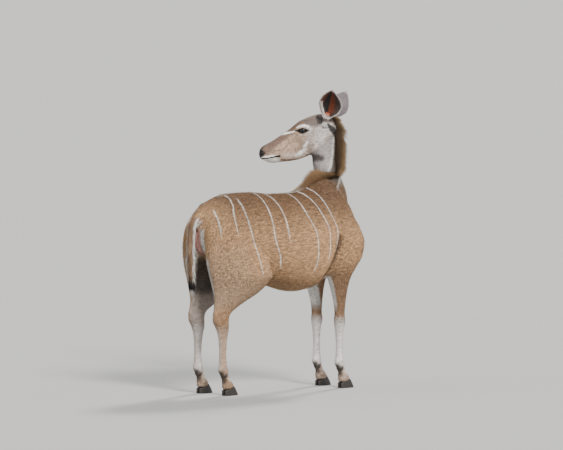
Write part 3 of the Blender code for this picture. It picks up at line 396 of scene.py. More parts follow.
def grid_object(name, rings):
    """Quads between rings of equal count, each ring closed."""
    rows, turns = rings.shape[:2]
    i, j = np.arange(rows - 1)[:, None] * turns, np.arange(turns)[None, :]
    k = (j + 1) % turns
    quads = np.stack([i + j, i + k, i + turns + k, i + turns + j], axis=-1)
    return mesh_object(name, rings.reshape(-1, 3), quads.reshape(-1, 4))


def opened(mesh):
    """The mesh as one that can be worked on."""
    work = bmesh.new()
    work.from_mesh(mesh)
    return work


def written(work, mesh):
    """Puts the worked mesh back."""
    work.to_mesh(mesh)
    work.free()


def close_holes(shape):
    """Fills the open ends and turns every face outwards."""
    work = opened(shape.data)
    bmesh.ops.holes_fill(work, edges=[edge for edge in work.edges if edge.is_boundary], sides=0)
    bmesh.ops.recalc_face_normals(work, faces=work.faces)
    if work.calc_volume(signed=True) < 0:
        bmesh.ops.reverse_faces(work, faces=work.faces)
    written(work, shape.data)
    shape.data.shade_smooth()


def merge_close(shape):
    """Joins vertices within a micrometre of each other."""
    work = opened(shape.data)
    bmesh.ops.remove_doubles(work, verts=work.verts, dist=1e-6)
    written(work, shape.data)


def loft(name, rings):
    """Closed surface through rings of equal count, each end closed by shrinking its ring to the middle."""
    ends = ((ring, ring.mean(axis=0)) for ring in rings[[0, -1]])
    first, last = ([middle + (ring - middle) * share for share in (0.02, 0.5)] for ring, middle in ends)
    shape = grid_object(name, np.concatenate([first, rings, last[::-1]]))
    close_holes(shape)
    return shape


def trunk_rings(count=110, turns=72):
    """Upright sections: y = half c, z = widest + (top - widest) s above it and (widest - belly) s below."""
    along = np.linspace(TRUNK[0, 0], TRUNK[-1, 0], count)
    top, belly, half, widest = stations(TRUNK, along)[..., None]
    c, s = power_ring(turns, 2.15)
    z = widest + np.where(s > 0, (top - widest) * s, (widest - belly) * s)
    return np.stack([along[:, None] + 0 * z, half * c, z], axis=-1)


def leg_rings(table, side, reach=0.0, count=110, turns=32):
    """Level ovals between the four edges: x = middle + half c + lean, y = middle + half s."""
    height = np.linspace(table[-1, 0], table[0, 0], count)
    back, front, inner, outer = stations(table[::-1], height)[..., None]
    lean = reach * (1 - height / table[0, 0])
    c, s = power_ring(turns, 2.2)
    x = (back + front) / 2 + lean[:, None] + (front - back) / 2 * c
    y = side * ((inner + outer) / 2 + (outer - inner) / 2 * s)
    return np.stack([x, y, height[:, None] + 0 * x], axis=-1)


def neck_rings(count=70, turns=48):
    """Ovals square to the neck's middle line: middle + nape depth c + side half s."""
    values = line_values(NECK, np.linspace(0, 1, count))
    middle, (heading, rise, depth, half) = values[:, :3], values[:, 3:].T
    along = unit(np.gradient(middle, axis=0))
    nape = square_to(directions(heading, rise), along)
    return ovals(middle, nape, np.cross(along, nape), depth, half, turns)


def tail_rings(count=40, turns=24, last=1.0, core=1.0):
    """Ovals along the hanging tail, wide across and thin from front to back."""
    values = line_values(TAIL, np.linspace(0, last, count))
    middle, (half, thick) = values[:, :3], core * values[:, 3:].T
    along = unit(np.gradient(middle, axis=0))
    across = square_to(np.array([0.0, 1.0, 0.0]), along)
    return ovals(middle, across, np.cross(along, across), half, thick, turns)


LEVEL = np.array([math.cos(HEAD_HEADING), math.sin(HEAD_HEADING), 0.0])
PLUMB = np.array([0.0, 0.0, 1.0])
FORWARD = LEVEL * math.cos(HEAD_DROP) - PLUMB * math.sin(HEAD_DROP)
UPWARD = LEVEL * math.sin(HEAD_DROP) + PLUMB * math.cos(HEAD_DROP)
LEFTWARD = np.cross(UPWARD, FORWARD)


def on_head(along, left, up):
    """Point that lies this far forward, left and up of the middle of the braincase."""
    along, left, up = (np.asarray(value, float)[..., None] for value in (along, left, up))
    return HEAD_PLACE + along * FORWARD + left * LEFTWARD + up * UPWARD


def head_places(points):
    """along, left and up on the head for points of the animal's frame."""
    away = points - HEAD_PLACE
    return away @ FORWARD, away @ LEFTWARD, away @ UPWARD


def bump_sum(along, up):
    """Sum of out exp(-((a - at) / reach)^2 - ((u - height) / rise)^2)."""
    return sum(
        out * bell(along, at, reach) * bell(up, high, rise) for at, high, reach, rise, out in HEAD_BUMPS
    )


def head_half_width(along, up):
    """Half width of the head at a place on its side."""
    top, bottom, widest, half = stations(HEAD, along)
    above = up > widest
    share = np.clip(np.abs(up - widest) / np.where(above, top - widest, widest - bottom), 0, 1)
    roundness = np.where(above, ROUND_ABOVE, ROUND_BELOW)
    flat = half * (1 - share**roundness) ** (1 / roundness)
    return flat + bump_sum(along, up) * np.clip(flat / (0.35 * half), 0, 1)


def head_rings(count=200, turns=120):
    """Sections across the head: rounder above the widest place than below it, with bumps on the sides."""
    along = np.linspace(HEAD[0, 0], HEAD[-1, 0], count)
    top, bottom, widest, half = stations(HEAD, along)[..., None]
    c, s = np.cos(round_angles(turns)), np.sin(round_angles(turns))
    power = np.where(s > 0, 2 / ROUND_ABOVE, 2 / ROUND_BELOW)
    rise = np.sign(s) * np.abs(s) ** power
    up = widest + np.where(s > 0, (top - widest) * rise, (widest - bottom) * rise)
    ahead = along[:, None] + 0 * up
    bumps = np.minimum(np.abs(c) * 3, 1) * bump_sum(ahead, up)
    return on_head(ahead, np.sign(c) * (half * np.abs(c) ** power + bumps), up)


EYE_OUT = float(head_half_width(*np.array(EYE)[:, None])[0]) - EYE_RADIUS * EYE_SUNK
TILT_COS, TILT_SIN = math.cos(OPENING_TILT), math.sin(OPENING_TILT)


def ear_frame(name):
    """Root, length, and the axis, back and across directions of an ear."""
    root, tip, back = EARS[name]
    base = on_head(*root)
    reach = on_head(*tip) - base
    length = float(np.linalg.norm(reach))
    axis = reach / length
    behind = square_to(back[0] * FORWARD + back[1] * LEFTWARD + back[2] * UPWARD, axis)
    return base, length, axis, behind, np.cross(axis, behind)


def ear_places(name, points):
    """Offset of points from an ear's root, their share of its length, and distance from its axis."""
    base, length, axis, _, _ = ear_frame(name)
    away = points - base
    along = away @ axis
    return away, along / length, far(away, np.outer(along, axis))


def ear_curve(length, share):
    """How far the ear's middle lies in front of a straight line."""
    return EAR_BEND * length * (share - 0.5) ** 2


def ear_spread(name, share, turn):
    """Wider on the cup's rear side, and a little narrower near the tip of the right ear's front side."""
    hand = 1 if name == "left_ear" else -1
    rear = -turn * hand
    front = 0.30 * fade(0.2, 0.9, -rear) * fade(0.5, 0.9, share) * (hand < 0)
    spread = EAR_SPREAD * (1 if hand > 0 else 0.55)
    return 1 + spread * fade(0.2, 0.9, rear) * fade(0.05, 0.35, share) - front


def ear_wall(name, share, turn, inset):
    """base + axis s L + across w sin(a t) + behind (d cos(a t) - bend L (s - 0.5)^2), share s, turn t."""
    base, length, axis, behind, across = ear_frame(name)
    half_angle, half, depth = (column.reshape(share.shape) for column in stations(EAR, share.ravel()))
    angle = np.radians(half_angle) * turn
    width = np.maximum(half - inset, 0.0012) * ear_spread(name, share, turn)
    back = np.maximum(depth - inset, 0.0008) * np.cos(angle) - ear_curve(length, share)
    place = base + axis * (share * length)[..., None] + across * (width * np.sin(angle))[..., None]
    return place + behind * back[..., None]


def ear_shell(name, count=44, turns=37):
    """Outer and inner wall of the cup, joined along the rim by a round edge and closed at root and tip."""
    share, turn = np.linspace(0, 1, count)[:, None] ** 0.95, np.linspace(-1, 1, turns)[None]
    ripple = 0.0006 * np.cos(turn * 16) * fade(0.1, 0.35, share)
    outer = ear_wall(name, share, turn, EAR_COAT)
    inner = ear_wall(name, share, turn, EAR_COAT + EAR_WALL + ripple)
    edge = (outer + inner) / 2 + (outer - inner) * 0.3
    first = edge[:, :1] + (outer[:, :1] - outer[:, 1:2]) * 0.25
    last = edge[:, -1:] + (outer[:, -1:] - outer[:, -2:-1]) * 0.25
    shape = grid_object(name + "_skin", np.concatenate([first, outer, last, inner[:, ::-1]], axis=1))
    columns = 2 * turns + 2
    work = opened(shape.data)
    work.verts.ensure_lookup_table()
    for row in (0, count - 1):
        for j in range(turns):
            ring = dict.fromkeys((j, j + 1, columns - 1 - j, (columns - j) % columns))
            work.faces.new([work.verts[row * columns + k] for k in ring])
    written(work, shape.data)
    close_holes(shape)
    return shape


# The skin


def apply_modifiers(shape):
    """Makes what the modifiers show the object's own mesh."""
    graph = bpy.context.evaluated_depsgraph_get()
    mesh = bpy.data.meshes.new_from_object(shape.evaluated_get(graph))
    shape.modifiers.clear()
    old = shape.data
    shape.data = mesh
    bpy.data.meshes.remove(old)


def merged(name, shapes):
    """One object holding the surfaces of all the shapes, still overlapping."""
    work = bmesh.new()
    for shape in shapes:
        work.from_mesh(shape.data)
        bpy.data.objects.remove(shape)
    mesh = bpy.data.meshes.new(name)
    written(work, mesh)
    return in_scene(name, mesh)


def places_of(mesh, key="co"):
    """Places of the vertices, or their normals."""
    values = np.empty(len(mesh.vertices) * 3, np.float32)
    mesh.vertices.foreach_get(key, values)
    return values.reshape(-1, 3).astype(float)


def put_vertices(mesh, points):
    """Moves the vertices to the points."""
    mesh.vertices.foreach_set("co", np.ascontiguousarray(points, dtype=np.float32).ravel())
    mesh.update()


def soften(shape, weights, factor, repeats):
    """Smooths the shape by a vertex group of the weights, in twenty steps."""
    group = shape.vertex_groups.new(name="soften")
    steps = np.round(np.clip(weights, 0, 1) * 20).astype(int)
    for step in np.unique(steps[steps > 0]):
        group.add(np.flatnonzero(steps == step).tolist(), step / 20, "REPLACE")
    smooth = shape.modifiers.new("soften", "SMOOTH")
    smooth.factor = factor
    smooth.iterations = repeats
    smooth.vertex_group = "soften"
    apply_modifiers(shape)
    shape.vertex_groups.clear()


def divide(shape, inside):
    """Splits in two every edge with both ends inside."""
    work = opened(shape.data)
    edges = [edge for edge in work.edges if inside[edge.verts[0].index] and inside[edge.verts[1].index]]
    bmesh.ops.subdivide_edges(work, edges=edges, cuts=1, use_grid_fill=True)
    written(work, shape.data)


def snapped(shape, target):
    """Where each vertex lies when it is moved to the nearest place of the target."""
    step = shape.modifiers.new("snap", "SHRINKWRAP")
    step.target = target
    step.wrap_method = "NEAREST_SURFACEPOINT"
    fitted = shape.evaluated_get(bpy.context.evaluated_depsgraph_get())
    points = places_of(fitted.to_mesh())
    fitted.to_mesh_clear()
    shape.modifiers.clear()
    return points


def head_share(points):
    """1 on the head in front of the cut behind the jaw, 0 on the neck, with a soft change."""
    along, _, up = head_places(points)
    ahead = (along - 0.040) * 0.381 + (up + 0.0921) * 0.925
    return fade(-0.010, 0.040, ahead) * fade(0.33, 0.29, far(points, on_head(0.15, 0, 0)))


def neck_share(points):
    """1 on the neck, 0 on the trunk, with a soft change at the shoulder."""
    ahead = (points - np.array([0.405, 0.0, 1.075])) @ np.array([0.882, 0.10, 0.471])
    return fade(-0.06, 0.10, ahead) * (1 - head_share(points))


def leg_share(points):
    """1 on the lower legs, 0 on the trunk."""
    x, _, z = points.T
    return fade(0.78, 0.60, z) * np.clip(fade(0.19, 0.24, x) + fade(-0.13, -0.20, x), 0, 1)


def tail_share(points):
    """1 on the hanging tail."""
    x, y, z = points.T
    from_line = np.abs(x - np.interp(z, TAIL[::-1, 2], TAIL[::-1, 0]))
    return fade(0.028, 0.016, from_line) * fade(1.045, 1.00, z) * (np.abs(y) < 0.05) * (z > 0.64)


def ear_shares(points, normals):
    """How far along its ear each point lies, or -1 off the ears, and whether it faces into the cup."""
    share = np.full(len(points), -1.0)
    inside = np.zeros(len(points), bool)
    for name in EARS:
        _, length, axis, behind, _ = ear_frame(name)
        away, s, reach = ear_places(name, points)
        width = np.interp(s, EAR[:, 0], np.maximum(EAR[:, 2], EAR[:, 3])) + 0.012
        mine = (s > 0.13) & (s < 1.05) & (reach < width)
        curve = ear_curve(length, np.clip(s, 0, 1))
        middle = away - np.outer(away @ axis, axis) + behind * curve[:, None]
        share = np.where(mine, np.clip(s, 0, 1), share)
        inside |= mine & ((normals * middle).sum(1) < 0)
    return share, inside


def coat_depth(points):
    """How far the skin lies below the tips of the short coat."""
    depth = 0.0050 - 0.0025 * leg_share(points)
    face = 0.0022 - 0.0014 * fade(0.16, 0.36, head_places(points)[0])
    return depth + (face - depth) * head_share(points)


def almond_value(along, up):
    """1 on the edge of the eye's opening, less inside it."""
    ahead, above = along - OPENING_MIDDLE[0], up - OPENING_MIDDLE[1]
    u = (ahead * TILT_COS + above * TILT_SIN) / OPENING[0]
    v = (above * TILT_COS - ahead * TILT_SIN) / OPENING[1]
    return np.sqrt(u**2 + (v / np.maximum(1 - 0.25 * np.minimum(u**2, 1.5), 0.4)) ** 2)


def almond_places(angle, grow=1.0):
    """Outline of the eye's opening: pointed ends, the front one higher."""
    u = OPENING[0] * grow * np.cos(angle)
    v = OPENING[1] * grow * np.sin(angle) * (1 - 0.25 * np.cos(angle) ** 2)
    return OPENING_MIDDLE[0] + u * TILT_COS - v * TILT_SIN, OPENING_MIDDLE[1] + u * TILT_SIN + v * TILT_COS


def eyeball_surface(along, up):
    """left of the eyeball's front at a place on the head's side."""
    square = EYE_RADIUS**2 - (along - EYE[0]) ** 2 - (up - EYE[1]) ** 2
    return EYE_OUT + np.sqrt(np.maximum(square, 0))


def mouth_height(along):
    """Height of the mouth line at a place along the head."""
    return stations(MOUTH, along)[0]


def stroke(u, v, path, soft):
    """1 within a path of (u, v, half width) points, falling to 0 over soft, both in millimetres."""
    path = np.array(path) / MM
    away = np.full(u.shape, 9.0)
    for (u0, v0, w0), (u1, v1, w1) in zip(path[:-1], path[1:]):
        du, dv = u1 - u0, v1 - v0
        s = np.clip(((u - u0) * du + (v - v0) * dv) / (du * du + dv * dv), 0, 1)
        away = np.minimum(away, np.hypot(u - u0 - s * du, v - v0 - s * dv) - w0 - (w1 - w0) * s)
    return fade(soft / MM, 0, away)


def near_place(along, up, place, ahead, high):
    """Whether places on the head's side lie this near to a place of it."""
    return (np.abs(along - place[0]) < ahead) & (np.abs(up - place[1]) < high)


def carve_face(points):
    """Presses the sockets, nostrils and mouth into the head, and raises the lids and lips."""
    along, left, up = head_places(points)
    side, out = np.sign(left), np.abs(left)
    share = head_share(points)
    on_side = share * fade(0.006, 0.020, out)

    value = almond_value(along, up)
    eyeball = eyeball_surface(along, up)
    near = on_side * near_place(along, up, EYE, 0.06, 0.045) * (out > 0.03)
    lid = np.maximum(out, eyeball + 0.0022)
    out = np.where(near > 0, out + (lid - out) * fade(1.75, 1.15, value) * near, out)
    out = out - 0.0016 * bell(value, 1.62, 0.13) * (up > EYE[1] - 0.004) * near
    pit = np.minimum(out - 0.004, np.maximum(eyeball - 0.0025, out - 0.0075))
    out = np.where((value < 1.0) & (near > 0), pit + (out - pit) * fade(0.90, 1.0, value), out)
    out = out - 0.0025 * bell(along, 0.160, 0.008) * bell(up, 0.050 + (along - 0.160) * 0.3, 0.0022) * near

    wing_along, wing_up = along - NOSTRIL[0], up - NOSTRIL[1]
    bend = wing_up - 0.35 * wing_along - 18 * wing_along**2
    hole = np.exp(-((wing_along / 0.0085) ** 4) - (bend / 0.0042) ** 4)
    rim = bell(np.hypot(wing_along / 0.0115, bend / 0.0075), 1, 0.22)
    out = out + (0.0012 * rim - 0.009 * hole) * on_side

    gap = up - mouth_height(along)
    mouth = fade(0.300, 0.312, along) * share
    lips = (bell(gap, 0.0060, 0.0040) + bell(gap, -0.0062, 0.0045)) * mouth
    moved = on_head(along, side * out, up)
    ahead = 0.6 * FORWARD * fade(0.39, 0.42, along)[:, None]
    away = unit(moved - on_head(along, 0 * out, 0 * up - 0.02) + ahead)
    moved = moved + away * (0.0014 * lips - 0.0036 * bell(gap, 0, 0.0017) * mouth)[:, None]
    crease = np.maximum(*(stroke(along, up, path, 3.5) for path in FOLDS)) * on_side
    jaw = stroke(along, up, JAW_EDGE, 18) * on_side
    return moved - away * (0.0013 * crease + 0.0030 * jaw)[:, None]


def finer_places(points, finest):
    """Where the head's mesh is made finer: round eyes, mouth and nostrils, then at lids and lips alone."""
    along, left, up = head_places(points)
    from_mouth = np.abs(up - mouth_height(along))
    if finest:
        lids = near_place(along, up, OPENING_MIDDLE, 0.038, 0.022)
        return (np.abs(left) > 0.004) & (lids | ((along > 0.300) & (from_mouth < 0.010)))
    at_eye = near_place(along, up, (EYE[0] + 0.005, EYE[1]), 0.050, 0.034)
    return at_eye | near_place(along, up, NOSTRIL, 0.024, 0.020) | ((along > 0.295) & (from_mouth < 0.016))


def build_skin():
    """One closed skin: masses joined by remeshing, softened where they meet, and made finer on the face."""
    masses = [
        loft("trunk_mass", trunk_rings()),
        loft("neck_mass", neck_rings()),
        loft("head_mass", head_rings(120, 72)),
        loft("tail_mass", tail_rings(last=TAIL_STUMP)),
    ]
    for side, _ in SIDES:
        masses.append(loft("front_mass", leg_rings(FRONT_LEG, side)))
        masses.append(loft("hind_mass", leg_rings(HIND_LEG, side, LEFT_HIND_REACH if side > 0 else 0.0)))
    body = merged("skin", masses)
    remesh = body.modifiers.new("skin", "REMESH")
    remesh.mode = "VOXEL"
    remesh.voxel_size = VOXEL
    apply_modifiers(body)
    points = places_of(body.data)
    low = np.clip((points[:, 2] - 0.50) / 0.15, 0.12, 1)
    weights = np.where(far(points, on_head(0.17, 0, 0)) < 0.27, 0.10, low)
    soften(body, weights, SMOOTHING, int(round((SMOOTH_REACH / VOXEL) ** 2)))

    divide(body, head_share(places_of(body.data)) > 0.01)
    for finest in (False, True):
        points = places_of(body.data)
        divide(body, (head_share(points) > 0.5) & finer_places(points, finest))

    target = loft("head_target", head_rings())
    points, near = places_of(body.data), snapped(body, target)
    bpy.data.objects.remove(target)
    share = head_share(points) * fade(0.010, 0.005, far(near, points))
    points = points + (near - points) * share[:, None]
    put_vertices(body.data, points)
    x, y, z = points.T
    fold = stroke(x, z, ELBOW_FOLD, 22) * fade(0.08, 0.13, np.abs(y))
    points = points - places_of(body.data, "normal") * (coat_depth(points) + 0.009 * fold)[:, None]
    put_vertices(body.data, carve_face(points))
    return body


def add_ears_and_tail(body):
    """Joins the ears and the tail's core to the skin, then softens round their roots."""
    added = [ear_shell(name) for name in EARS]
    shares = np.linspace(-0.12, 0.16, 9)
    reach = 0.0185 + 0.011 * fade(0.05, -0.12, shares)
    for name in EARS:
        base, length, axis, behind, across = ear_frame(name)
        middle = base + np.outer(shares * length, axis) - behind * 0.004
        added.append(loft("ear_root", ovals(middle, across, behind, reach, reach, 28)))
    added.append(loft("tail_core", tail_rings(core=TAIL_CORE)))
    group = bpy.data.collections.new("added")
    for shape in added:
        group.objects.link(shape)
    step = body.modifiers.new("join", "BOOLEAN")
    step.operation = "UNION"
    step.solver = "EXACT"
    step.use_self = False
    step.operand_type = "COLLECTION"
    step.collection = group
    apply_modifiers(body)
    for shape in added:
        bpy.data.objects.remove(shape)
    bpy.data.collections.remove(group)
    points = places_of(body.data)
    weights = np.zeros(len(points))
    for name in EARS:
        base, _, axis, _, _ = ear_frame(name)
        near = fade(0.058, 0.040, far(points, base + axis * 0.012))
        weights = np.maximum(weights, near * fade(0.16, 0.10, ear_places(name, points)[1]))
    soften(body, weights, 0.5, 12)
    body.data.shade_smooth()
    return body


# Markings and painted shade, the same for the skin and the coat


def mixed(base, colour, share):
    """base + (colour - base) share."""
    return base + (np.array(colour) - base) * np.asarray(share)[..., None]


def painted(base, layers):
    """Each layer's colour over the ones before it, by its share from 0 to 1."""
    for colour, share in layers:
        base = mixed(base, colour, share)
    return base


def plain(colour, count):
    """One colour or vector, repeated."""
    return np.tile(np.array(colour), (count, 1))


def face_colours(points, base):
    """Markings of the head by place along it and up it, with painted shade along the jaw, at the throat and
    in the face's creases.
    """
    along, left, up = head_places(points)
    out = np.abs(left)
    side = fade(0.004, 0.014, out)
    ragged = 0.0010 * np.sin(along * 1900 + up * 700) + 0.0008 * np.sin(up * 2300 - along * 900)
    u, v = along + ragged, up + ragged
    top, mouth = stations(HEAD, along)[0], mouth_height(along)
    lip = fade(mouth - 0.003, mouth + 0.001, up) * fade(mouth + 0.0185, mouth + 0.013, up)
    nose = fade(0.364, 0.378, u + 0.30 * (v - 0.006)) * fade(-0.026, -0.014, v - 0.3 * (0.39 - along))
    lids = fade(1.46, 1.16, almond_value(along, up)) * (np.abs(along - EYE[0]) < 0.07)
    marks = [
        (colour, strength * stroke(u, v, path, soft) * side) for path, soft, colour, strength in FACE_MARKS
    ]
    face = painted(plain(CHEEK, len(points)), [
        (FACE, fade(0.08, 0.17, along + 0.25 * up)),
        (RUST, 0.92 * fade(top - 0.040, top - 0.012, up) * fade(0.02, 0.10, along)),
        ((0.150, 0.108, 0.086), 0.92 * fade(top - 0.062, top - 0.028, up) * fade(0.15, 0.08, along)),
        (WHITE, 0.9 * fade(mouth + 0.001, mouth - 0.003, up) * fade(0.300, 0.335, along)),
        (WHITE, lip * fade(0.318, 0.345, along)),
        (BLACK, nose),
        *marks,
        (BLACK, lids * side),
        (BLACK, stroke(along, up, EYE_CORNER, 2.5) * side),
        (BLACK, fade(0.0052, 0.0034, np.abs(up - mouth - 0.0006)) * fade(0.300, 0.312, along)),
    ])
    from_poll = far(points, HEAD_PLACE)
    return painted(base, [
        (face, head_share(points)),
        (DARK, 0.97 * fade(0.20, 0.16, from_poll) * fade(0.006, 0.016, out) * stroke(u, v, BEHIND_EAR, 6)),
        # painted shadow at the throat behind the jaw
        ((0.050, 0.038, 0.030), 0.85 * fade(0.30, 0.24, from_poll) * stroke(u, v, THROAT_SHADE, 20)),
    ])


def nape_turn(points):
    """Angle round the neck from its nape, 0 on the nape itself."""
    x, y, z = points.T
    middle_x, middle_y, heading = (np.interp(z, NECK[:, 2], NECK[:, k]) for k in (0, 1, 3))
    return (np.arctan2(y - middle_y, x - middle_x) - np.radians(heading) + np.pi) % (2 * np.pi) - np.pi


def coat_colours(points, normals):
    """Colour of the coat at places of the skin, stripes apart, with painted shade in the elbow crease,
    between the hind legs, beside the mane and on the throat.
    """
    x, y, z = points.T
    side, forward = np.abs(y), normals[:, 0]
    outward = normals[:, 1] * np.sign(y)
    leg, neck, turn = leg_share(points), neck_share(points), np.abs(nape_turn(points))
    hind = fade(-0.10, -0.30, x)
    front = 1 - hind
    high = fade(1.13, 1.18, z) * fade(1.50, 1.46, z) * neck
    # where the throat is painted darker: painted shade under the jaw
    throat_shade = fade(2.0, 2.9, turn) * fade(1.28, 1.40, z) * fade(1.55, 1.50, z)
    groin = fade(0.3, -0.2, outward) * fade(0.56, 0.62, z) * fade(0.84, 0.78, z)
    groin = groin * fade(0.14, 0.11, side) * fade(-0.42, -0.50, x)
    from_back = x - np.interp(z, FRONT_LEG[::-1, 0], FRONT_LEG[::-1, 1])
    strip = fade(0.062, 0.040, from_back) * fade(-0.050, -0.030, from_back) * fade(0.44, 0.52, z)
    glands = fade(0.155, 0.135, z) * fade(0.060, 0.085, z) * fade(0.0, 0.7, -forward)
    wave = z + 0.010 * np.sin(x * 90)
    bars = ((0.395, 0.030, 0.60), (0.300, 0.012, 0.35), (0.235, 0.010, 0.35), (0.190, 0.010, 0.30))
    ahead = fade(0.2, 0.8, forward)
    bars = [strength * bell(wave, height, reach) * ahead for height, reach, strength in bars]
    rump = fade(-0.580, -0.615, x) * fade(0.60, 0.68, z) * fade(1.00, 0.96, z)
    colour = painted(plain(TAWNY, len(points)), [
        (SADDLE, 0.93 * fade(0.90, 1.17, z) * fade(-0.64, -0.44, x)),
        (SADDLE, 0.40 * fade(0.95, 1.18, z) * fade(0.15, 0.32, x)),
        (PALE, 0.12 * fade(0.72, 0.60, z) * (1 - leg)),
        (PALE, 0.25 * fade(-0.30, -0.50, x) * fade(0.95, 0.75, z)),
        # dark in the elbow crease: painted shade
        ((0.060, 0.038, 0.026), 0.85 * stroke(x, z, ELBOW_FOLD, 30) * fade(0.08, 0.14, side)),
        (GREY, fade(0.25, 0.95, neck) * fade(1.17, 1.30, z)),
        (THIGH, 0.5 * neck * fade(1.24, 1.10, z)),
        ((0.62, 0.57, 0.575), 0.60 * neck * fade(1.17, 1.30, z) * fade(1.60, 1.50, z)),
        ((0.30, 0.27, 0.25), 0.25 * high * fade(1.2, 0.7, turn)),
        (WHITE, 0.85 * high * bell(turn, 0.56, 0.085)),
        # dark band beside the mane: painted shadow of the mane on the neck
        ((0.06, 0.042, 0.028), 0.9 * high * fade(0.46, 0.38, turn)),
        # painted shade on the throat
        ((0.085, 0.065, 0.050), 0.65 * throat_shade * neck),
        (THIGH, leg * 0.8 * hind),
        (ARM, 0.75 * leg * front),
        (ARM, 0.55 * front * fade(0.80, 0.66, z) * fade(0.19, 0.23, x)),
        # grey on the inner sides of the hind legs, darkened partly as painted shade
        ((0.36, 0.32, 0.31), 0.75 * fade(0.0, 0.6, -outward) * leg * hind),
        # dark deep between the hind legs: painted shadow
        ((0.075, 0.060, 0.052), 0.85 * groin * fade(-0.605, -0.580, x)),
        (WHITE, 0.85 * groin * fade(-0.580, -0.605, x)),
        (WHITE, 0.95 * strip * fade(0.71, 0.66, z) * front * fade(0.75, 0.35, outward)),
        (CANNON, fade(0.445, 0.370, z) * (0.92 - 0.45 * hind)),
        ((0.42, 0.22, 0.10), 0.55 * hind * fade(0.56, 0.48, z) * fade(0.0, 0.8, outward)),
        *(((0.22, 0.20, 0.19), bar * front) for bar in bars),
        ((0.36, 0.22, 0.125), 0.75 * fade(0.145, 0.120, z)),
        (BLACK, 0.85 * glands),
        (WHITE, 0.8 * bell(z, 0.098, 0.010) * fade(-0.2, 0.4, forward)),
        (WHITE, 0.95 * rump * fade(0.068, 0.056, side) * fade(0.028, 0.038, side)),
        # dark in the groove between the buttocks: painted shade
        (DARK, 0.85 * rump * fade(0.030, 0.020, side) * fade(0.86, 0.82, z)),
        (PINK, rump * fade(0.038, 0.030, side) * fade(0.81, 0.85, z)),
        # white line along the spine: white hair, partly painted rim light
        (WHITE, 0.85 * dorsal_line(points)),
    ])
    return ear_colours(points, normals, tail_colours(points, normals, face_colours(points, colour)))


def dorsal_line(points):
    """White line along the middle of the back, from behind the withers to the tail: white hair, partly
    painted rim light.
    """
    x, y, z = points.T
    return fade(0.012, 0.006, np.abs(y + 0.005)) * fade(0.20, 0.10, x) * fade(-0.50, -0.38, x) * (z > 1.0)


def tail_colours(points, normals, base):
    """Brown behind, white at the edges and in front, black at the end."""
    tail = painted(plain((0.34, 0.215, 0.130), len(points)), [
        (WHITE, np.maximum(fade(0.016, 0.022, np.abs(points[:, 1])), fade(0.0, 0.5, normals[:, 0]))),
        (BLACK, fade(0.735, 0.705, points[:, 2])),
    ])
    return mixed(base, tail, tail_share(points))


def ear_colours(points, normals, base):
    """Grey backs, white rims, rust inside with a dark middle."""
    share, inside = ear_shares(points, normals)
    count = len(points)
    for name in EARS:
        _, length, _, behind, across = ear_frame(name)
        away, s, reach = ear_places(name, points)
        half_angle, half, depth = stations(EAR, np.clip(s, 0, 1))
        bend = np.arctan2(away @ across / half, (away @ behind + ear_curve(length, s)) / depth)
        turn = bend / np.radians(half_angle)
        mine = (share > 0) & (reach < half + 0.03) & (s > 0.1) & (s < 1.06)
        rim = np.maximum(fade(0.84, 0.93, np.abs(turn)), fade(0.91, 0.97, s))
        back = painted(plain((0.175, 0.148, 0.156), count), [
            (DARK, 0.25 * fade(0.6, 1.0, s)),
            (GREY, 0.8 * fade(0.40, 0.15, s)),
            ((0.52, 0.47, 0.47), 0.7 * rim),
        ])
        rust = fade(0.06, -0.02, turn) * fade(-0.42, -0.28, turn) * fade(0.16, 0.26, s)
        rust = rust + 0.45 * fade(0.44, 0.52, turn) * fade(0.74, 0.64, turn) * fade(0.45, 0.6, s)
        edge = np.maximum(fade(0.78, 0.90, -turn), fade(0.74, 0.84, turn))
        high_front = fade(0.42, 0.58, s) * fade(-0.1, 0.3, turn)
        rim_colour = mixed(plain((0.55, 0.50, 0.49), count), (0.24, 0.18, 0.165), high_front)
        cup = painted(plain(EAR_INSIDE, count), [
            ((0.185, 0.033, 0.008), 0.95 * rust * (0.55 + 0.45 * np.sin(turn * 34 + 4 * s))),
            ((0.052, 0.037, 0.031), 0.8 * fade(-0.44, -0.60, turn)),
            (BLACK, 0.97 * fade(0.00, 0.08, turn) * fade(0.52, 0.42, turn)),
            ((0.60, 0.55, 0.54), 0.9 * fade(0.42, 0.26, s) * fade(0.38, 0.62, turn)),
            ((0.42, 0.37, 0.35), 0.8 * fade(0.17, 0.10, s)),
            ((0.72, 0.20, 0.11), bell(s, 0.165, 0.040) * bell(turn, 0.05, 0.20)),
            (rim_colour, np.maximum(rim, edge)),
        ])
        base = np.where(mine[:, None], np.where(inside[:, None], cup, back), base)
    return base


def stripe_values(points):
    """A number that is whole on each stripe's middle line, and how wide the stripe is on that scale."""
    x, y, z = points.T
    lines = smooth_values(STRIPE_HEIGHTS, STRIPES[:, :5].T, z).T + 0.010 * np.sin(9 * z + 2.0) * (y > 0)
    order = np.concatenate([lines[:1] - 0.12, lines, lines[-1:] + 0.12])
    phase, spacing = np.zeros(len(points)), np.full(len(points), 0.1)
    for k in range(len(order) - 1):
        here = (x >= order[k]) & (x < order[k + 1])
        gap = np.maximum(order[k + 1] - order[k], 0.02)
        phase = np.where(here, k + (x - order[k]) / gap, phase)
        spacing = np.where(here, gap, spacing)
    index = np.clip(np.round(phase).astype(int), 1, len(STRIPES)) - 1
    low, high = STRIPES[index, 5:].T
    width = STRIPE_HALF * fade(low - 0.015, low + 0.06, z) * fade(high + 0.01, high - 0.02, z)
    width = width * (0.85 + 0.15 * np.sin(40 * z + 3 * index))
    off = neck_share(points) + head_share(points) + leg_share(points)
    width = width * (phase > 0.5) * (phase < len(STRIPES) + 0.5) * fade(0.5, 0.2, off)
    return phase, width / spacing


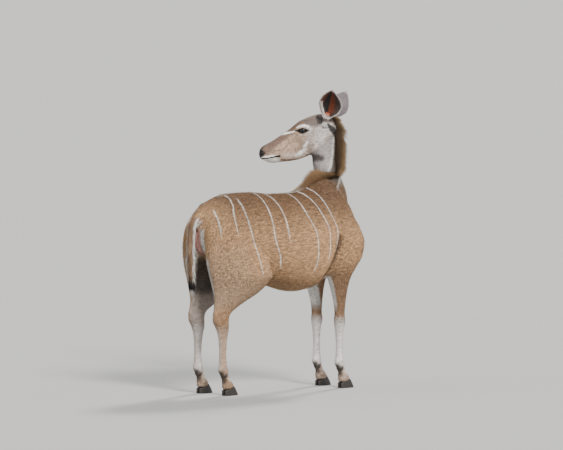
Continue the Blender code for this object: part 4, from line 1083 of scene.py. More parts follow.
def hang_of(points):
    """1 where the hair hangs straight down, for the streaks of the skin."""
    return np.clip(leg_share(points) + neck_share(points) + tail_share(points), 0, 1)


def put_attribute(mesh, name, values):
    """Float or colour attribute on the vertices."""
    values = np.asarray(values, np.float32)
    if values.ndim == 2:
        layer = mesh.color_attributes.new(name=name, type="FLOAT_COLOR", domain="POINT")
        rgba = np.ones((len(values), 4), np.float32)
        rgba[:, :3] = values
        layer.data.foreach_set("color", rgba.ravel())
    else:
        layer = mesh.attributes.new(name=name, type="FLOAT", domain="POINT")
        layer.data.foreach_set("value", values)


def put_stripes(mesh, points, hang):
    """The stripes' phase and width and the hair's hang, on the vertices."""
    phase, width = stripe_values(points)
    put_attribute(mesh, "phase", phase)
    put_attribute(mesh, "width", width)
    put_attribute(mesh, "hang", hang)


# Materials


def set_inputs(node, **values):
    """Fixed values on a node's own sockets, with _ for the space in a name."""
    for name, value in values.items():
        node.inputs[name.replace("_", " ")].default_value = value


def nodes_of(name, **values):
    """New material, its tree and its shader with fixed values on its sockets."""
    stuff = bpy.data.materials.new(name)
    stuff.use_nodes = True
    shader = stuff.node_tree.nodes["Principled BSDF"]
    set_inputs(shader, **values)
    return stuff, stuff.node_tree, shader


def add(tree, kind, **settings):
    """New node with its settings."""
    node = tree.nodes.new(kind)
    for key, value in settings.items():
        setattr(node, key, value)
    return node


def fill(tree, socket, value):
    """Sets a number or a colour on the socket, or links an output to it."""
    if isinstance(value, (int, float)):
        socket.default_value = value
    elif isinstance(value, tuple):
        socket.default_value = (*value, 1)
    else:
        tree.links.new(value, socket)


def maths(tree, operation, first, second=0.0, clamp=False):
    """One operation on two values."""
    node = add(tree, "ShaderNodeMath", operation=operation, use_clamp=clamp)
    fill(tree, node.inputs[0], first)
    fill(tree, node.inputs[1], second)
    return node.outputs[0]


def scaled(tree, value, factor, offset=0.0):
    """value factor + offset."""
    product = maths(tree, "MULTIPLY", value, factor)
    return maths(tree, "ADD", product, offset)


def mix_node(tree, factor, first, second, blend="MIX"):
    """Two colours blended by the factor."""
    node = add(tree, "ShaderNodeMix", data_type="RGBA", blend_type=blend)
    for place, value in ((0, factor), (6, first), (7, second)):
        fill(tree, node.inputs[place], value)
    return node.outputs[2]


def toned(tree, shader, colour, tone):
    """The colour times a grey of the tone, as the base colour."""
    grey = add(tree, "ShaderNodeCombineColor")
    for socket in grey.inputs:
        tree.links.new(tone, socket)
    product = mix_node(tree, 1.0, colour, grey.outputs["Color"], "MULTIPLY")
    tree.links.new(product, shader.inputs["Base Color"])


def relieved(tree, shader, height, strength, distance):
    """The height as a relief on the shader's normal."""
    relief = add(tree, "ShaderNodeBump")
    set_inputs(relief, Strength=strength, Distance=distance)
    tree.links.new(height, relief.inputs["Height"])
    tree.links.new(relief.outputs["Normal"], shader.inputs["Normal"])


def attribute(tree, name, output="Fac"):
    """A vertex attribute of the mesh."""
    return add(tree, "ShaderNodeAttribute", attribute_name=name).outputs[output]


def streaks(tree, scale, size):
    """Noise on object places, drawn out by an uneven scale."""
    place, mapping = add(tree, "ShaderNodeTexCoord"), add(tree, "ShaderNodeMapping")
    noise = add(tree, "ShaderNodeTexNoise")
    set_inputs(mapping, Scale=scale)
    set_inputs(noise, Scale=size, Detail=3.0, Roughness=0.6)
    tree.links.new(place.outputs["Object"], mapping.inputs["Vector"])
    tree.links.new(mapping.outputs["Vector"], noise.inputs["Vector"])
    return noise.outputs["Fac"]


def coat_material(name, roughness, relief=0.0):
    """The coat's colour attribute, white stripes where the phase is whole, and streaks along the hair."""
    stuff, tree, shader = nodes_of(
        name, Roughness=roughness, Specular_IOR_Level=0.25, Sheen_Weight=0.05, Sheen_Roughness=0.5
    )
    phase, width, hang = (attribute(tree, kind) for kind in ("phase", "width", "hang"))
    away = maths(tree, "ABSOLUTE", maths(tree, "SUBTRACT", phase, maths(tree, "ROUND", phase)))
    ratio = maths(tree, "DIVIDE", away, maths(tree, "ADD", width, 0.0001))
    shown = maths(tree, "GREATER_THAN", width, 0.003)
    stripe = maths(tree, "MULTIPLY", maths(tree, "SUBTRACT", 1.9, ratio, clamp=True), shown)
    stripe = maths(tree, "MULTIPLY", stripe, 0.88)
    body_lie, leg_lie = streaks(tree, (0.22, 1.0, 0.75), 420.0), streaks(tree, (1.0, 1.0, 0.16), 420.0)
    along_body = maths(tree, "MULTIPLY", body_lie, maths(tree, "SUBTRACT", 1.0, hang))
    grain = scaled(tree, leg_lie, hang, along_body)
    blotch = maths(tree, "MULTIPLY", streaks(tree, (1.0, 1.0, 1.0), 7.0), 0.35)
    contrast = maths(tree, "SUBTRACT", 2.3, maths(tree, "MULTIPLY", hang, 0.9))
    brindle = maths(tree, "SUBTRACT", streaks(tree, (0.22, 1.0, 0.80), 140.0), 0.5)
    tone = scaled(tree, brindle, contrast, scaled(tree, grain, 0.7, blotch))
    tone = maths(tree, "MAXIMUM", maths(tree, "ADD", tone, 0.475), 0.2)
    toned(tree, shader, mix_node(tree, stripe, attribute(tree, "coat", "Color"), WHITE), tone)
    if relief:
        relieved(tree, shader, grain, relief, 0.0015)
    return stuff


def hair_material(name):
    """Long hair: the colour attribute and a fine streak."""
    stuff, tree, shader = nodes_of(name, Roughness=0.55, Specular_IOR_Level=0.35)
    tone = scaled(tree, streaks(tree, (1.0, 1.0, 0.3), 500.0), 0.7, 0.65)
    toned(tree, shader, attribute(tree, "coat", "Color"), tone)
    return stuff


def eye_material():
    """Dark brown iris with a wide black pupil, both by distance from the eye's axis, under a wet gloss."""
    stuff, tree, shader = nodes_of("eye_wet", Roughness=0.05, Specular_IOR_Level=0.30)
    ramp = add(tree, "ShaderNodeValToRGB")
    stops = ramp.color_ramp.elements
    stops[0].position, stops[0].color = 0.0, (0.002, 0.002, 0.003, 1)
    stops[1].position, stops[1].color = 1.0, (0.030, 0.022, 0.018, 1)
    middles = ((0.42, (0.002, 0.002, 0.003)), (0.52, (0.011, 0.006, 0.004)), (0.80, (0.006, 0.004, 0.003)))
    for position, colour in middles:
        stops.new(position).color = (*colour, 1)
    tree.links.new(attribute(tree, "iris"), ramp.inputs["Fac"])
    fibres = scaled(tree, streaks(tree, (1.0, 1.0, 1.0), 300.0), 0.8, 0.6)
    toned(tree, shader, ramp.outputs["Color"], fibres)
    return stuff


def plain_material(name, dark, light, roughness, scale, size, relief=0.2):
    """Two tones mixed by drawn-out noise, with the same noise as relief."""
    stuff, tree, shader = nodes_of(name, Roughness=roughness)
    noise = streaks(tree, scale, size)
    tree.links.new(mix_node(tree, noise, dark, light), shader.inputs["Base Color"])
    relieved(tree, shader, noise, relief, 0.001)
    return stuff


def finish(shape, stuff):
    """A finished piece: its material and the body that it rides on."""
    shape.data.materials.append(stuff)
    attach(shape, "root")


# Hair


def lie_of(points, normals):
    """Which way the hair points: back on the trunk, down neck and legs, from nose to ears on the head."""
    x, _, z = points.T
    down = 0.22 + 0.55 * fade(0.12, 0.36, x) + 0.75 * fade(-0.30, -0.56, x)
    lie = painted(np.stack([0 * x - 1, 0 * x, -down], axis=1), [
        ((-0.1, 0, -1.0), fade(0.42, 0.50, x) * fade(1.15, 1.0, z)),
        ((-0.16, -0.22, -0.96), neck_share(points)),
        ((-0.08, 0, -1.0), leg_share(points)),
        ((0.02, 0, -1.0), tail_share(points)),
        (-FORWARD - 0.30 * UPWARD, head_share(points)),
    ])
    share, _ = ear_shares(points, normals)
    for name in EARS:
        base, length, axis, _, _ = ear_frame(name)
        mine = (share > 0) & (((points - base) @ axis) > 0) & (far(points, base + axis * length / 2) < 0.16)
        lie = np.where(mine[:, None], axis[None, :], lie)
    return square_to(lie, normals)


def atlas_places(points):
    """Unwrap of the body: each part is rolled out round its own axis into a tile of its own."""
    x, y, z = points.T
    along, left, up = head_places(points)
    hind = x < 0

    def rolled(second, first):
        return np.arctan2(second, first) / (2 * np.pi) + 0.5

    neck_x, neck_y = (np.interp(z, NECK[:, 2], NECK[:, k]) for k in (0, 1))
    around_neck = rolled(y - neck_y, x - neck_x)
    around_leg = rolled(np.abs(y) - 0.108, x - np.where(hind, -0.50, 0.335))
    leg_column = 0.02 + 0.12 * (2 * hind + (y > 0)) + 0.10 * around_leg
    tiles = [
        (neck_share(points) > 0.5, 0.52 + 0.20 * around_neck, 0.02, within(z, 0.90, 0.75)),
        (head_share(points) > 0.5, 0.74 + 0.24 * within(along, -0.08, 0.52), 0.02, rolled(left, up + 0.01)),
        (leg_share(points) > 0.5, leg_column, 0.52, np.clip(z / 0.75, 0, 1)),
        (tail_share(points) > 0.5, 0.52 + 0.10 * within(y, -0.05, 0.10), 0.52, within(z, 0.60, 0.50)),
    ]
    for k, name in enumerate(EARS):
        away, s, reach = ear_places(name, points)
        mine = (s > 0.13) & (s < 1.1) & (reach < 0.09)
        column = 0.64 + 0.17 * k + 0.15 * within(away @ ear_frame(name)[4], -0.08, 0.16)
        tiles.append((mine, column, 0.52, np.clip(s, 0, 1)))
    u, v = 0.02 + 0.46 * (x + 0.70) / 1.25, 0.02 + 0.46 * rolled(y, z - 0.93)
    for mine, column, row, height in tiles:
        u, v = np.where(mine, column, u), np.where(mine, row + 0.46 * height, v)
    return np.stack([u, v], axis=1)


def blades(name, centres, wide, out, widths, flat, roots, colours, stuff, striped=False, bias=1.0):
    """Closed tapered hairs, joined in one mesh. centres is (n, k + 1, 3), the last of each a point.

    Every ring has a left, a right and a ridge point: c + w a / 2, c - w a / 2 and c + w flat o.
    """
    count, rings = centres.shape[0], centres.shape[1] - 1
    body, across = centres[:, :-1], wide[:, None] * (widths / 2)[..., None]
    ridge = body + out[:, None] * (widths * flat)[..., None]
    points = np.stack([body + across, body - across, ridge], axis=2).reshape(count, rings * 3, 3)
    points = np.concatenate([points, centres[:, -1:]], axis=1)
    per = rings * 3 + 1
    faces = [(0, 2, 1)]
    for a in range(0, rings * 3 - 3, 3):
        for i, j in ((0, 1), (1, 2), (2, 0)):
            faces += [(a + i, a + j, a + 3 + j), (a + i, a + 3 + j, a + 3 + i)]
    faces += [(per - 4 + i, per - 4 + j, per - 1) for i, j in ((0, 1), (1, 2), (2, 0))]
    root = points[:, 0]
    normal = np.cross(points[:, 1] - root, points[:, 2] - root)
    all_faces = np.array(faces)[None] + (np.arange(count) * per)[:, None, None]
    flip = (normal * (points[:, -1] - root)).sum(1) < 0
    all_faces[flip] = all_faces[flip][:, :, ::-1]
    shape = mesh_object(name, points.reshape(-1, 3) + SHIFT, all_faces.reshape(-1, 3))
    mesh = shape.data
    share = np.append(np.repeat(np.arange(rings) / rings, 3), 1.0)
    base, tip = colours
    shade = base[:, None] + (tip - base)[:, None] * (share**bias)[None, :, None]
    put_attribute(mesh, "coat", shade.reshape(-1, 3))
    if striped:
        put_stripes(mesh, points.reshape(-1, 3), np.repeat(hang_of(roots), per))
    patch = PATCH * np.stack([np.tile([-0.5, 0.5, 0.0], rings + 1)[:per], share - 0.5], axis=1)
    uv = (atlas_places(roots)[:, None] + patch[None]).reshape(-1, 2).astype(np.float32)
    corners = np.empty(len(mesh.loops), np.int32)
    mesh.loops.foreach_get("vertex_index", corners)
    mesh.uv_layers.new(name="OFBake").data.foreach_set("uv", uv[corners].ravel())
    finish(shape, stuff)


def sampled(mesh, weights, count, draw):
    """Places and normals spread over the mesh by area times weight."""
    mesh.calc_loop_triangles()
    triangles = np.empty(len(mesh.loop_triangles) * 3, np.int32)
    mesh.loop_triangles.foreach_get("vertices", triangles)
    triangles = triangles.reshape(-1, 3)
    points, normals = places_of(mesh), places_of(mesh, "normal")
    a, b, c = points[triangles].transpose(1, 0, 2)
    area = np.linalg.norm(np.cross(b - a, c - a), axis=1) / 2
    total = np.cumsum(area * weights[triangles].mean(axis=1))
    spots = (np.arange(count) + draw.random(count)) / count * total[-1]
    chosen = triangles[np.clip(np.searchsorted(total, spots), 0, len(triangles) - 1)]
    a, b = draw.random(count), draw.random(count)
    fold = a + b > 1
    a, b = np.where(fold, 1 - a, a), np.where(fold, 1 - b, b)
    mix = np.stack([1 - a - b, a, b], axis=1)[..., None]
    return (points[chosen] * mix).sum(axis=1), unit((normals[chosen] * mix).sum(axis=1))


def coat_density(points, normals):
    """Hairs for each square metre, over the most there are."""
    x, y, z = points.T
    along, left, up = head_places(points)
    head = head_share(points)
    density = 0.62 + 0.30 * leg_share(points) + 0.55 * neck_share(points)
    density = density + (1.15 - density) * head
    bare = (np.abs(left) > 0.03) & (almond_value(along, up) < 1.12) & (np.abs(along - EYE[0]) < 0.05)
    nose = (along + 0.25 * (up - 0.006) > 0.386) & (up > -0.018)
    gap = up - mouth_height(along)
    slit = (along > 0.303) & (gap > -0.0042) & (gap < 0.0062)
    density = np.where((head > 0.3) & (bare | nose | slit), 0.0, density)
    share, inside = ear_shares(points, normals)
    density = np.where(share > 0, np.where(inside, 0.35, 1.1), density)
    bald = (x < -0.585) & (np.abs(y) < 0.016) & (z > 0.84) & (z < 0.99)
    return np.where(bald, 0.0, density) * fade(0.036, 0.040, z)


def coat_sizes(points, normals, draw):
    """Length, width and lift of the short hair."""
    z, count = points[:, 2], len(points)
    leg, head, neck = leg_share(points), head_share(points), neck_share(points)
    length = 0.0205 - 0.0070 * neck + 0.006 * fade(0.72, 0.64, z) * (1 - leg)
    length = length * (1 - leg) + (0.0165 - 0.004 * fade(0.5, 0.2, z)) * leg
    face = 0.0105 - 0.0055 * fade(0.10, 0.34, head_places(points)[0])
    length = length * (1 - head) + face * head
    share, inside = ear_shares(points, normals)
    length = np.where(share > 0, np.where(inside, 0.010, 0.0085), length)
    width = 0.0034 * (1 - 0.35 * leg) * (1 - 0.32 * neck) * (1 - 0.5 * head)
    width = np.where(share > 0, 0.0020, width)
    lift = np.radians(15.0 - 4.0 * leg - 3.0 * head)
    length = length * draw.uniform(0.75, 1.2, count)
    width = width * draw.uniform(0.8, 1.25, count)
    return length, width, lift * draw.uniform(0.55, 1.35, count)


def short_coat(skin, stuff, draw):
    """The short coat in pieces of close-lying tufts over the whole skin."""
    density = coat_density(places_of(skin.data), places_of(skin.data, "normal"))
    count = int(COAT_TUFTS * SHARE)
    place, normal = sampled(skin.data, density, count, draw)
    length, width, lift = (values[:, None] for values in coat_sizes(place, normal, draw))
    lie = lie_of(place, normal)
    lie = unit(lie + np.cross(normal, lie) * draw.normal(0, 0.16, count)[:, None])
    across = np.cross(normal, lie)
    out = normal * np.cos(lift) - lie * np.sin(lift)
    root = place - normal * 0.0012 - lie * 0.001
    centres = np.stack([root, root + (lie * np.cos(lift) + normal * np.sin(lift)) * length], axis=1)
    colour = coat_colours(place, normal)
    tone = draw.normal(1.0, 0.12, count)
    often = 0.10 + 0.12 * neck_share(place)
    strength = 0.55 - 0.30 * leg_share(place) - 0.25 * head_share(place)
    tone = tone * (1 - np.where(draw.random(count) < often, strength, 0.0))
    warm = 1 + draw.normal(0, 0.025, (count, 1)) * np.array([[1.0, 0.0, -1.0]])
    colour = np.clip(colour * tone[:, None] * warm, 0.003, 0.95)
    for k, mine in enumerate(np.array_split(np.arange(count), int(np.ceil(count / TUFTS_IN_A_PIECE)))):
        blades(
            f"coat_{k + 1}", centres[mine], across[mine], out[mine], width[mine], 0.34, place[mine],
            (colour[mine] * 0.72, colour[mine] * 1.10), stuff, striped=True,
        )


def hits(skin, starts, ways, reach):
    """Where rays meet the skin."""
    tree = BVHTree.FromObject(skin, bpy.context.evaluated_depsgraph_get())
    met = [tree.ray_cast(Vector(start), Vector(way), reach)[0] for start, way in zip(starts, ways)]
    return np.array(met, float)


def taken(values, at):
    """Values of a line read at shares from 0 to 1."""
    knots = np.linspace(0, 1, len(values))
    return np.stack([np.interp(at, knots, column) for column in values.T], axis=1)


def spread(count, draw):
    """Numbers from 0 to 1, one drawn from each of as many equal steps."""
    return (np.arange(count) + draw.random(count)) / count


def bent_hairs(root, rise, droop, length, shares):
    """root + L (rise s + droop s^2): hairs that start along rise and bend towards droop."""
    s = np.array(shares)[None, :, None]
    return root[:, None] + length[:, None, None] * (rise[:, None] * s + droop[:, None] * s**2)


def crest(skin, stuff, draw):
    """The mane down the nape and the hump over the withers, standing up and leaning down the neck."""
    values = line_values(CREST, np.linspace(0, 1, 80))
    out = directions(values[:, 3], values[:, 4])
    line = hits(skin, values[:, :3] + out * 0.5, -out, 0.7)
    down = unit(np.gradient(line, axis=0))
    out = square_to(out, down)
    count = int(CREST_HAIRS * SHARE)
    at = spread(count, draw)
    place, out, down = taken(line, at), unit(taken(out, at)), unit(taken(down, at))
    tall, half = taken(values[:, 5:], at).T
    side = np.cross(out, down)
    row = np.clip(draw.normal(0, 0.42, count), -1, 1)
    hump = fade(0.52, 0.66, at)
    tall = tall * CREST_GROWTH * (1 - (0.45 + 0.37 * hump) * row**2) * draw.uniform(0.62, 1.05, count)
    lean = draw.uniform(0.35, 0.75, count) + np.sin(at * 190 + row * 3.0) * 0.05
    rise = unit(out + down * lean[:, None] + side * (row * 0.24 + draw.normal(0, 0.07, count))[:, None])
    droop = down * draw.uniform(0.12, 0.42, count)[:, None]
    droop = droop + side * (row * 0.10 + draw.normal(0, 0.06, count))[:, None]
    length = (tall + 0.004) / np.maximum(((rise + droop) * out).sum(1), 0.3)
    root = place + side * (row * half)[:, None] - out * (0.004 + 0.10 * half * row**2)[:, None]
    wide = square_to(unit(down + side * draw.uniform(-1.2, 1.2, count)[:, None]), rise)
    widths = (0.0009 + 0.0110 * tall)[:, None] * np.array([[0.9, 1.0, 0.62]])
    widths = widths * draw.uniform(0.7, 1.25, (count, 1))
    tip = painted(plain(CREST_TIP, count), [
        (HUMP_TIP, hump),
        # pale tips at the hump's rear end: painted highlight
        ((0.66, 0.56, 0.42), 0.85 * fade(0.84, 0.97, at)),
        # darker tips along the mane's sides: painted shade
        ((0.055, 0.038, 0.024), 0.85 * fade(0.30, 0.70, np.abs(row)) * (1 - hump)),
    ]) * draw.uniform(0.55, 1.15, (count, 1))
    # dark roots, kept dark far up each hair by the bias below: painted shade inside the mane, lighter on
    # the hump
    base = plain(CREST_SHADED_ROOT, count) * (1 + 2.4 * hump[:, None]) * draw.uniform(0.7, 1.3, (count, 1))
    centres = bent_hairs(root, rise, droop, length, (0, 0.36, 0.70, 1.0))
    blades(
        "crest", centres, wide, np.cross(wide, rise), widths, 0.30, root, (base, tip), stuff,
        bias=1.9,
    )


def dorsal_fringe(skin, stuff, draw):
    """Short white hair along the middle of the back, its white partly painted rim light."""
    starts = [(x, 0, 1.5) for x in np.linspace(0.16, -0.480, 60)]
    line = hits(skin, starts, [(0, 0, -1)] * len(starts), 1.0)
    count = int(FRINGE_HAIRS * SHARE)
    at = spread(count, draw)
    place, back = taken(line, at), unit(taken(np.gradient(line, axis=0), at))
    side = plain((0.0, 1.0, 0.0), count)
    out = np.cross(back, side)
    out = out * np.sign(out[:, 2:3])
    offset = np.clip(draw.normal(-0.005, 0.0050, count), -0.015, 0.008)
    rise = out * draw.uniform(0.40, 0.75, count)[:, None] + back
    rise = unit(rise + side * (offset * 25 + draw.normal(0, 0.1, count))[:, None])
    length = draw.uniform(0.018, 0.030, count)
    root = place + side * offset[:, None] - out * 0.003
    widths = 0.0028 * np.array([[1.0, 0.8]]) * draw.uniform(0.7, 1.2, (count, 1))
    tone = draw.uniform(0.75, 1.1, (count, 1))
    pale = mixed(plain(WHITE, count), SADDLE, 0.9 * fade(-0.34, -0.46, place[:, 0])) * tone
    centres = bent_hairs(root, rise, -out * 0.12, length, (0, 0.5, 1.0))
    blades(
        "dorsal_fringe", centres, square_to(side, rise), out, widths, 0.3, root,
        (plain(SADDLE, count) * tone * 1.4, pale), stuff,
    )


def tail_hair(stuff, draw):
    """Brown hair over the back of the tail, white along its edges, and a black tuft at its end."""
    rings = tail_rings(count=80, turns=48, core=TAIL_CORE)
    rows, turns = rings.shape[:2]
    middle = rings.mean(axis=1)
    count = int(TAIL_HAIRS * SHARE)
    at = 0.13 + 0.86 * (np.arange(count) + draw.random(count)) / count  # the bare stump has none
    angle = draw.random(count)
    i = np.clip((at * (rows - 1)).astype(int), 0, rows - 2)
    place = rings[i, (angle * turns).astype(int) % turns]
    out = unit(place - middle[i])
    down = unit(middle[np.minimum(i + 2, rows - 1)] - middle[i] + 1e-9)
    edge = np.abs(np.cos(2 * np.pi * angle))
    outwards = (0.10 + 0.30 * edge**3) * draw.uniform(0.5, 1.3, count)
    rise = unit(down + out * outwards[:, None] + draw.normal(0, 0.05, (count, 3)))
    length = (0.034 + 0.020 * edge**2 + 0.014 * fade(0.8, 0.95, at)) * draw.uniform(0.7, 1.15, count)
    root = place - out * 0.002
    wide = square_to(unit(np.cross(rise, out) + draw.normal(0, 0.3, (count, 3))), rise)
    widths = 0.0032 * np.array([[0.8, 1.0, 0.6]]) * draw.uniform(0.7, 1.25, (count, 1))
    white = np.maximum(fade(0.1, 0.6, out[:, 0]), fade(0.88, 0.97, edge + draw.normal(0, 0.03, count)))
    black = fade(0.80, 0.88, at + draw.normal(0, 0.02, count))
    colour = painted(plain((0.36, 0.225, 0.135), count), [(WHITE, white), (BLACK, black)])
    colour = colour * draw.uniform(0.75, 1.15, (count, 1))
    centres = bent_hairs(root, rise, down * 0.15 - out * 0.08, length, (0, 0.4, 0.75, 1.0))
    blades(
        "tail_hair", centres, wide, np.cross(wide, rise), widths, 0.3, root,
        (colour * 0.75, np.clip(colour * 1.1, 0, 0.95)), stuff,
    )


def ear_fringe(stuff, draw):
    """Long pale hair from the front wall across each cup, and a short pale edge round the rim."""
    for name in EARS:
        _, _, axis, behind, across = ear_frame(name)
        count = int(EAR_HAIRS * SHARE)
        inner = draw.random(count) < 0.45
        share = np.where(inner, draw.uniform(0.12, 0.50, count), draw.uniform(0.10, 0.98, count))
        hand = np.where(inner, 1.0, np.where(draw.random(count) < 0.5, 1.0, -1.0))
        turn = np.where(inner, draw.uniform(0.62, 0.96, count), 0.985) * hand
        place = ear_wall(name, share, turn, np.where(inner, EAR_COAT + EAR_WALL, 0.0035))
        angle = (np.radians(stations(EAR, share)[0]) * turn)[:, None]
        radial = across * np.sin(angle) + behind * np.cos(angle)
        inner = inner[:, None]
        inwards = unit(axis * 0.75 - radial * 0.8 - behind * 0.15)
        along_rim = unit(axis - radial * 0.35 - behind * 0.30)
        rise = unit(np.where(inner, inwards, along_rim) + draw.normal(0, 0.12, (count, 3)))
        length = np.where(inner[:, 0], 0.016, 0.007) * draw.uniform(0.6, 1.25, count)
        droop = np.where(inner, axis * 0.35, -behind * 0.15)
        wide = unit(np.cross(rise, radial) + 1e-6)
        widths = 0.0015 * np.array([[1.0, 0.8]]) * draw.uniform(0.7, 1.2, (count, 1))
        pale = plain((0.66, 0.60, 0.55), count) * draw.uniform(0.8, 1.15, (count, 1))
        centres = bent_hairs(place - rise * 0.001, rise, droop, length, (0, 0.5, 1.0))
        blades(
            name + "_fringe", centres, wide, np.cross(wide, rise), widths, 0.3, place, (pale * 0.8, pale),
            stuff,
        )


def lashes(stuff, draw):
    """Dark lashes along the upper lid of each eye."""
    for side, name in SIDES:
        angle = draw.uniform(0.10, 0.92, LASH_HAIRS) * np.pi
        along, up = almond_places(angle, 1.08)
        root = on_head(along, side * (eyeball_surface(along, up) + 0.0022), up)
        ahead = FORWARD * (np.cos(angle) * 0.45)[:, None]
        rise = unit(LEFTWARD * side * 0.75 + UPWARD * 0.25 + ahead + draw.normal(0, 0.08, (LASH_HAIRS, 3)))
        length = draw.uniform(0.007, 0.012, LASH_HAIRS)
        wide = unit(np.cross(rise, UPWARD))
        widths = 0.0007 * np.array([[1.0, 0.8]]) * np.ones((LASH_HAIRS, 1))
        dark = plain(BLACK, LASH_HAIRS)
        centres = bent_hairs(root, rise, plain(-UPWARD * 0.15, LASH_HAIRS), length, (0, 0.5, 1.0))
        blades(
            name + "_lashes", centres, wide, np.cross(wide, rise), widths, 0.4, root, (dark, dark), stuff,
        )


# Eyes, lids, hooves


def eyes(stuff):
    """A smooth ball with a slightly raised front, and how far each place is from the eye's axis."""
    for side, name in SIDES:
        polar = np.linspace(0, np.pi, 40)
        radius = EYE_RADIUS * (1 + 0.035 * np.exp(-((polar / 0.62) ** 4)))[:, None]
        along, up, out = (radius * share for share in ball(polar, 56))
        points = on_head(EYE[0] + along, side * (EYE_OUT + out), EYE[1] + up)
        shape = grid_object(name + "_eyeball", points + SHIFT)
        close_holes(shape)
        merge_close(shape)
        ahead, left, high = head_places(places_of(shape.data) - SHIFT)
        value = np.hypot((ahead - EYE[0]) / 0.0190, (high - EYE[1]) / 0.0130)
        value = np.where(np.abs(left) < EYE_OUT, 3.0, value)
        put_attribute(shape.data, "iris", np.clip(value / 1.6, 0, 1))
        finish(shape, stuff)
        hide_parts(name + "_eye")


def lids(stuff):
    """A dark moist edge round each eye's opening: a thin round rim along the almond, over the eyeball."""
    angle = round_angles(96)
    along, up = almond_places(angle)
    for side, name in SIDES:
        out = np.maximum(eyeball_surface(along, up) + 0.0006, head_half_width(along, up) - 0.0022)
        middle = on_head(along, side * out, up)
        ahead = unit(np.roll(middle, -1, axis=0) - np.roll(middle, 1, axis=0))
        outward = square_to(LEFTWARD * side, ahead)
        radius = 0.0021 * (1 + 0.25 * np.sin(angle))
        rings = ovals(middle, outward, np.cross(ahead, outward), radius, radius, 12)
        shape = grid_object(name + "_lids", np.concatenate([rings, rings[:1]]) + SHIFT)
        merge_close(shape)
        close_holes(shape)
        finish(shape, stuff)


def claw_rings(side, foot, inner, turns=40):
    """Level rings from the sole to the coronet: a pointed toe in front, faint growth rings higher up."""
    angle = round_angles(turns)
    sign = side * (-1 if inner else 1)
    ahead = (1 + np.cos(angle)) / 2
    rings = []
    for share in CLAW_SHARES:
        toe = CLAW_TOE + (CLAW_CORONET - CLAW_TOE) * share
        middle, reach = (toe + CLAW_BACK) / 2, (toe - CLAW_BACK) / 2
        grow = 1.0 - 0.04 * fade(0.12, 0.0, share) - 0.010 * (int(share * 100) % 20 == 2)
        along = middle + grow * reach * np.cos(angle)
        width = CLAW_WIDTH / 2 * (1 + grow * np.sin(angle) * (1 - 0.38 * ahead) - 0.20 * ahead)
        out = np.maximum(CLAW_GAP / 2 + width, CLAW_GAP / 2)
        top = HEEL_HEIGHT + CORONET_SLOPE * (along - CLAW_BACK)
        rings.append(np.stack([foot[0] + along, side * foot[1] + sign * out, share * top], axis=-1))
    return np.array(rings)


def hooves(stuff):
    """Two claws and two dewclaws on every foot."""
    for limb, (x, y) in FOOT_MIDDLE.items():
        for side, hand in SIDES:
            foot = (x + (LEFT_HIND_REACH if (limb, side) == ("hind", 1) else 0.0), y)
            shapes = [loft("claw", claw_rings(side, foot, inner)) for inner in (False, True)]
            for sign in (1, -1):
                middle = np.array([foot[0] + DEWCLAW[0], side * y + sign * DEWCLAW[1], DEWCLAW[2]])
                shares = ball(np.linspace(0.05, np.pi - 0.05, 12), 20)
                drop = sum(share[..., None] * axis for share, axis in zip(shares, DEWCLAW_AXES))
                shapes.append(loft("dewclaw", middle + drop))
            piece = merged(f"{limb}_{hand}_hooves", shapes)
            put_vertices(piece.data, places_of(piece.data) + SHIFT)
            piece.data.shade_smooth()
            finish(piece, stuff)
            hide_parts(f"{limb}_{hand}_hoof_inner", f"{limb}_{hand}_hoof_outer")


# Stage


def aimed(thing, way):
    """Turns a lamp or the camera to look the given way."""
    thing.rotation_mode = "QUATERNION"
    thing.rotation_quaternion = Vector(way).to_track_quat("-Z", "Y")


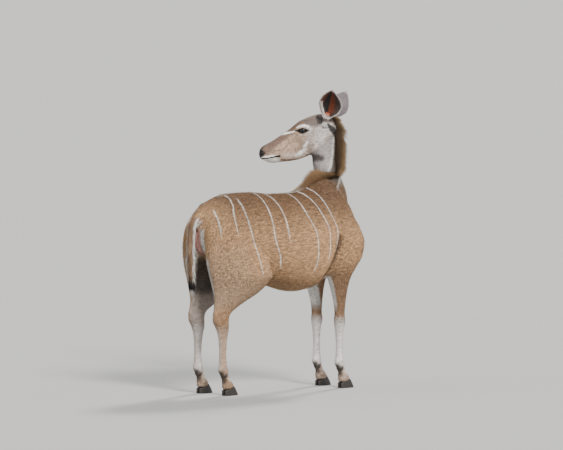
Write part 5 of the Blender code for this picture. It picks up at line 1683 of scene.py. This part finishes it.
def stage():
    """Pale floor, soft even light, and the camera at the photograph's angle."""
    corners = np.array([(-400, -400, 0), (400, -400, 0), (400, 400, 0), (-400, 400, 0)], float)
    floor = mesh_object("floor", corners, [(0, 1, 2, 3)])
    pale = plain_material("floor_pale", FLOOR_DARK, FLOOR_PALE, 0.9, (1, 1, 1), 2.0, 0.0)
    floor.data.materials.append(pale)
    world = bpy.data.worlds.new("studio")
    world.use_nodes = True
    set_inputs(world.node_tree.nodes["Background"], Color=(0.90, 0.92, 0.95, 1), Strength=0.72)
    bpy.context.scene.world = world
    for name, place, wide, strength, colour in LAMPS:
        lamp = bpy.data.lights.new(name, "SUN")
        lamp.angle = math.radians(wide)
        lamp.energy = strength
        lamp.color = colour
        aimed(in_scene(name, lamp), -Vector(place))
    lens = bpy.data.cameras.new("camera")
    lens.sensor_width = FILM
    lens.lens = FILM * CAMERA_AWAY * PIXELS_PER_METRE / PICTURE[0]
    lens.clip_end = 900
    level = math.cos(CAMERA_DROP)
    view = Vector((math.sin(CAMERA_TURN) * level, math.cos(CAMERA_TURN) * level, -math.sin(CAMERA_DROP)))
    right = Vector((math.cos(CAMERA_TURN), -math.sin(CAMERA_TURN), 0))
    target = Vector(SHIFT) + right * ((PICTURE[0] / 2 - ORIGIN_PIXEL[0]) / PIXELS_PER_METRE)
    target = target + right.cross(view) * ((ORIGIN_PIXEL[1] - PICTURE[1] / 2) / PIXELS_PER_METRE)
    camera = in_scene("camera", lens)
    camera.location = target - view * CAMERA_AWAY
    aimed(camera, view)
    bpy.context.scene.camera = camera


eye_low, eye_high = (np.array(corner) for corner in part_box("left_eye"))
SHIFT = (eye_low + eye_high) / 2 - on_head(EYE[0], EYE_OUT, EYE[1])
FLESH = [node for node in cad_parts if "hoof" not in node and "eye" not in node]


def dress():
    """All pieces, in the order that the random draws are made in."""
    draw = np.random.default_rng(SEED)
    stage()
    skin = add_ears_and_tail(build_skin())
    points = places_of(skin.data)
    put_attribute(skin.data, "coat", coat_colours(points, places_of(skin.data, "normal")) * 0.9)
    put_stripes(skin.data, points, hang_of(points))
    short_coat(skin, coat_material("coat_hair", 0.75), draw)
    long_hair = hair_material("long_hair")
    crest(skin, long_hair, draw)
    dorsal_fringe(skin, long_hair, draw)
    tail_hair(long_hair, draw)
    ear_fringe(long_hair, draw)
    lashes(long_hair, draw)
    eyes(eye_material())
    lids(plain_material("lid_dark", LID_DARK, LID_PALE, 0.35, (1, 1, 1), 400.0))
    hooves(plain_material("horn", HORN_DARK, HORN_PALE, 0.42, (0.15, 0.15, 1), 260.0, 0.5))
    put_vertices(skin.data, points + SHIFT)
    finish(skin, coat_material("skin_coat", 0.8, 0.6))
    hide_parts(*FLESH)


dress()
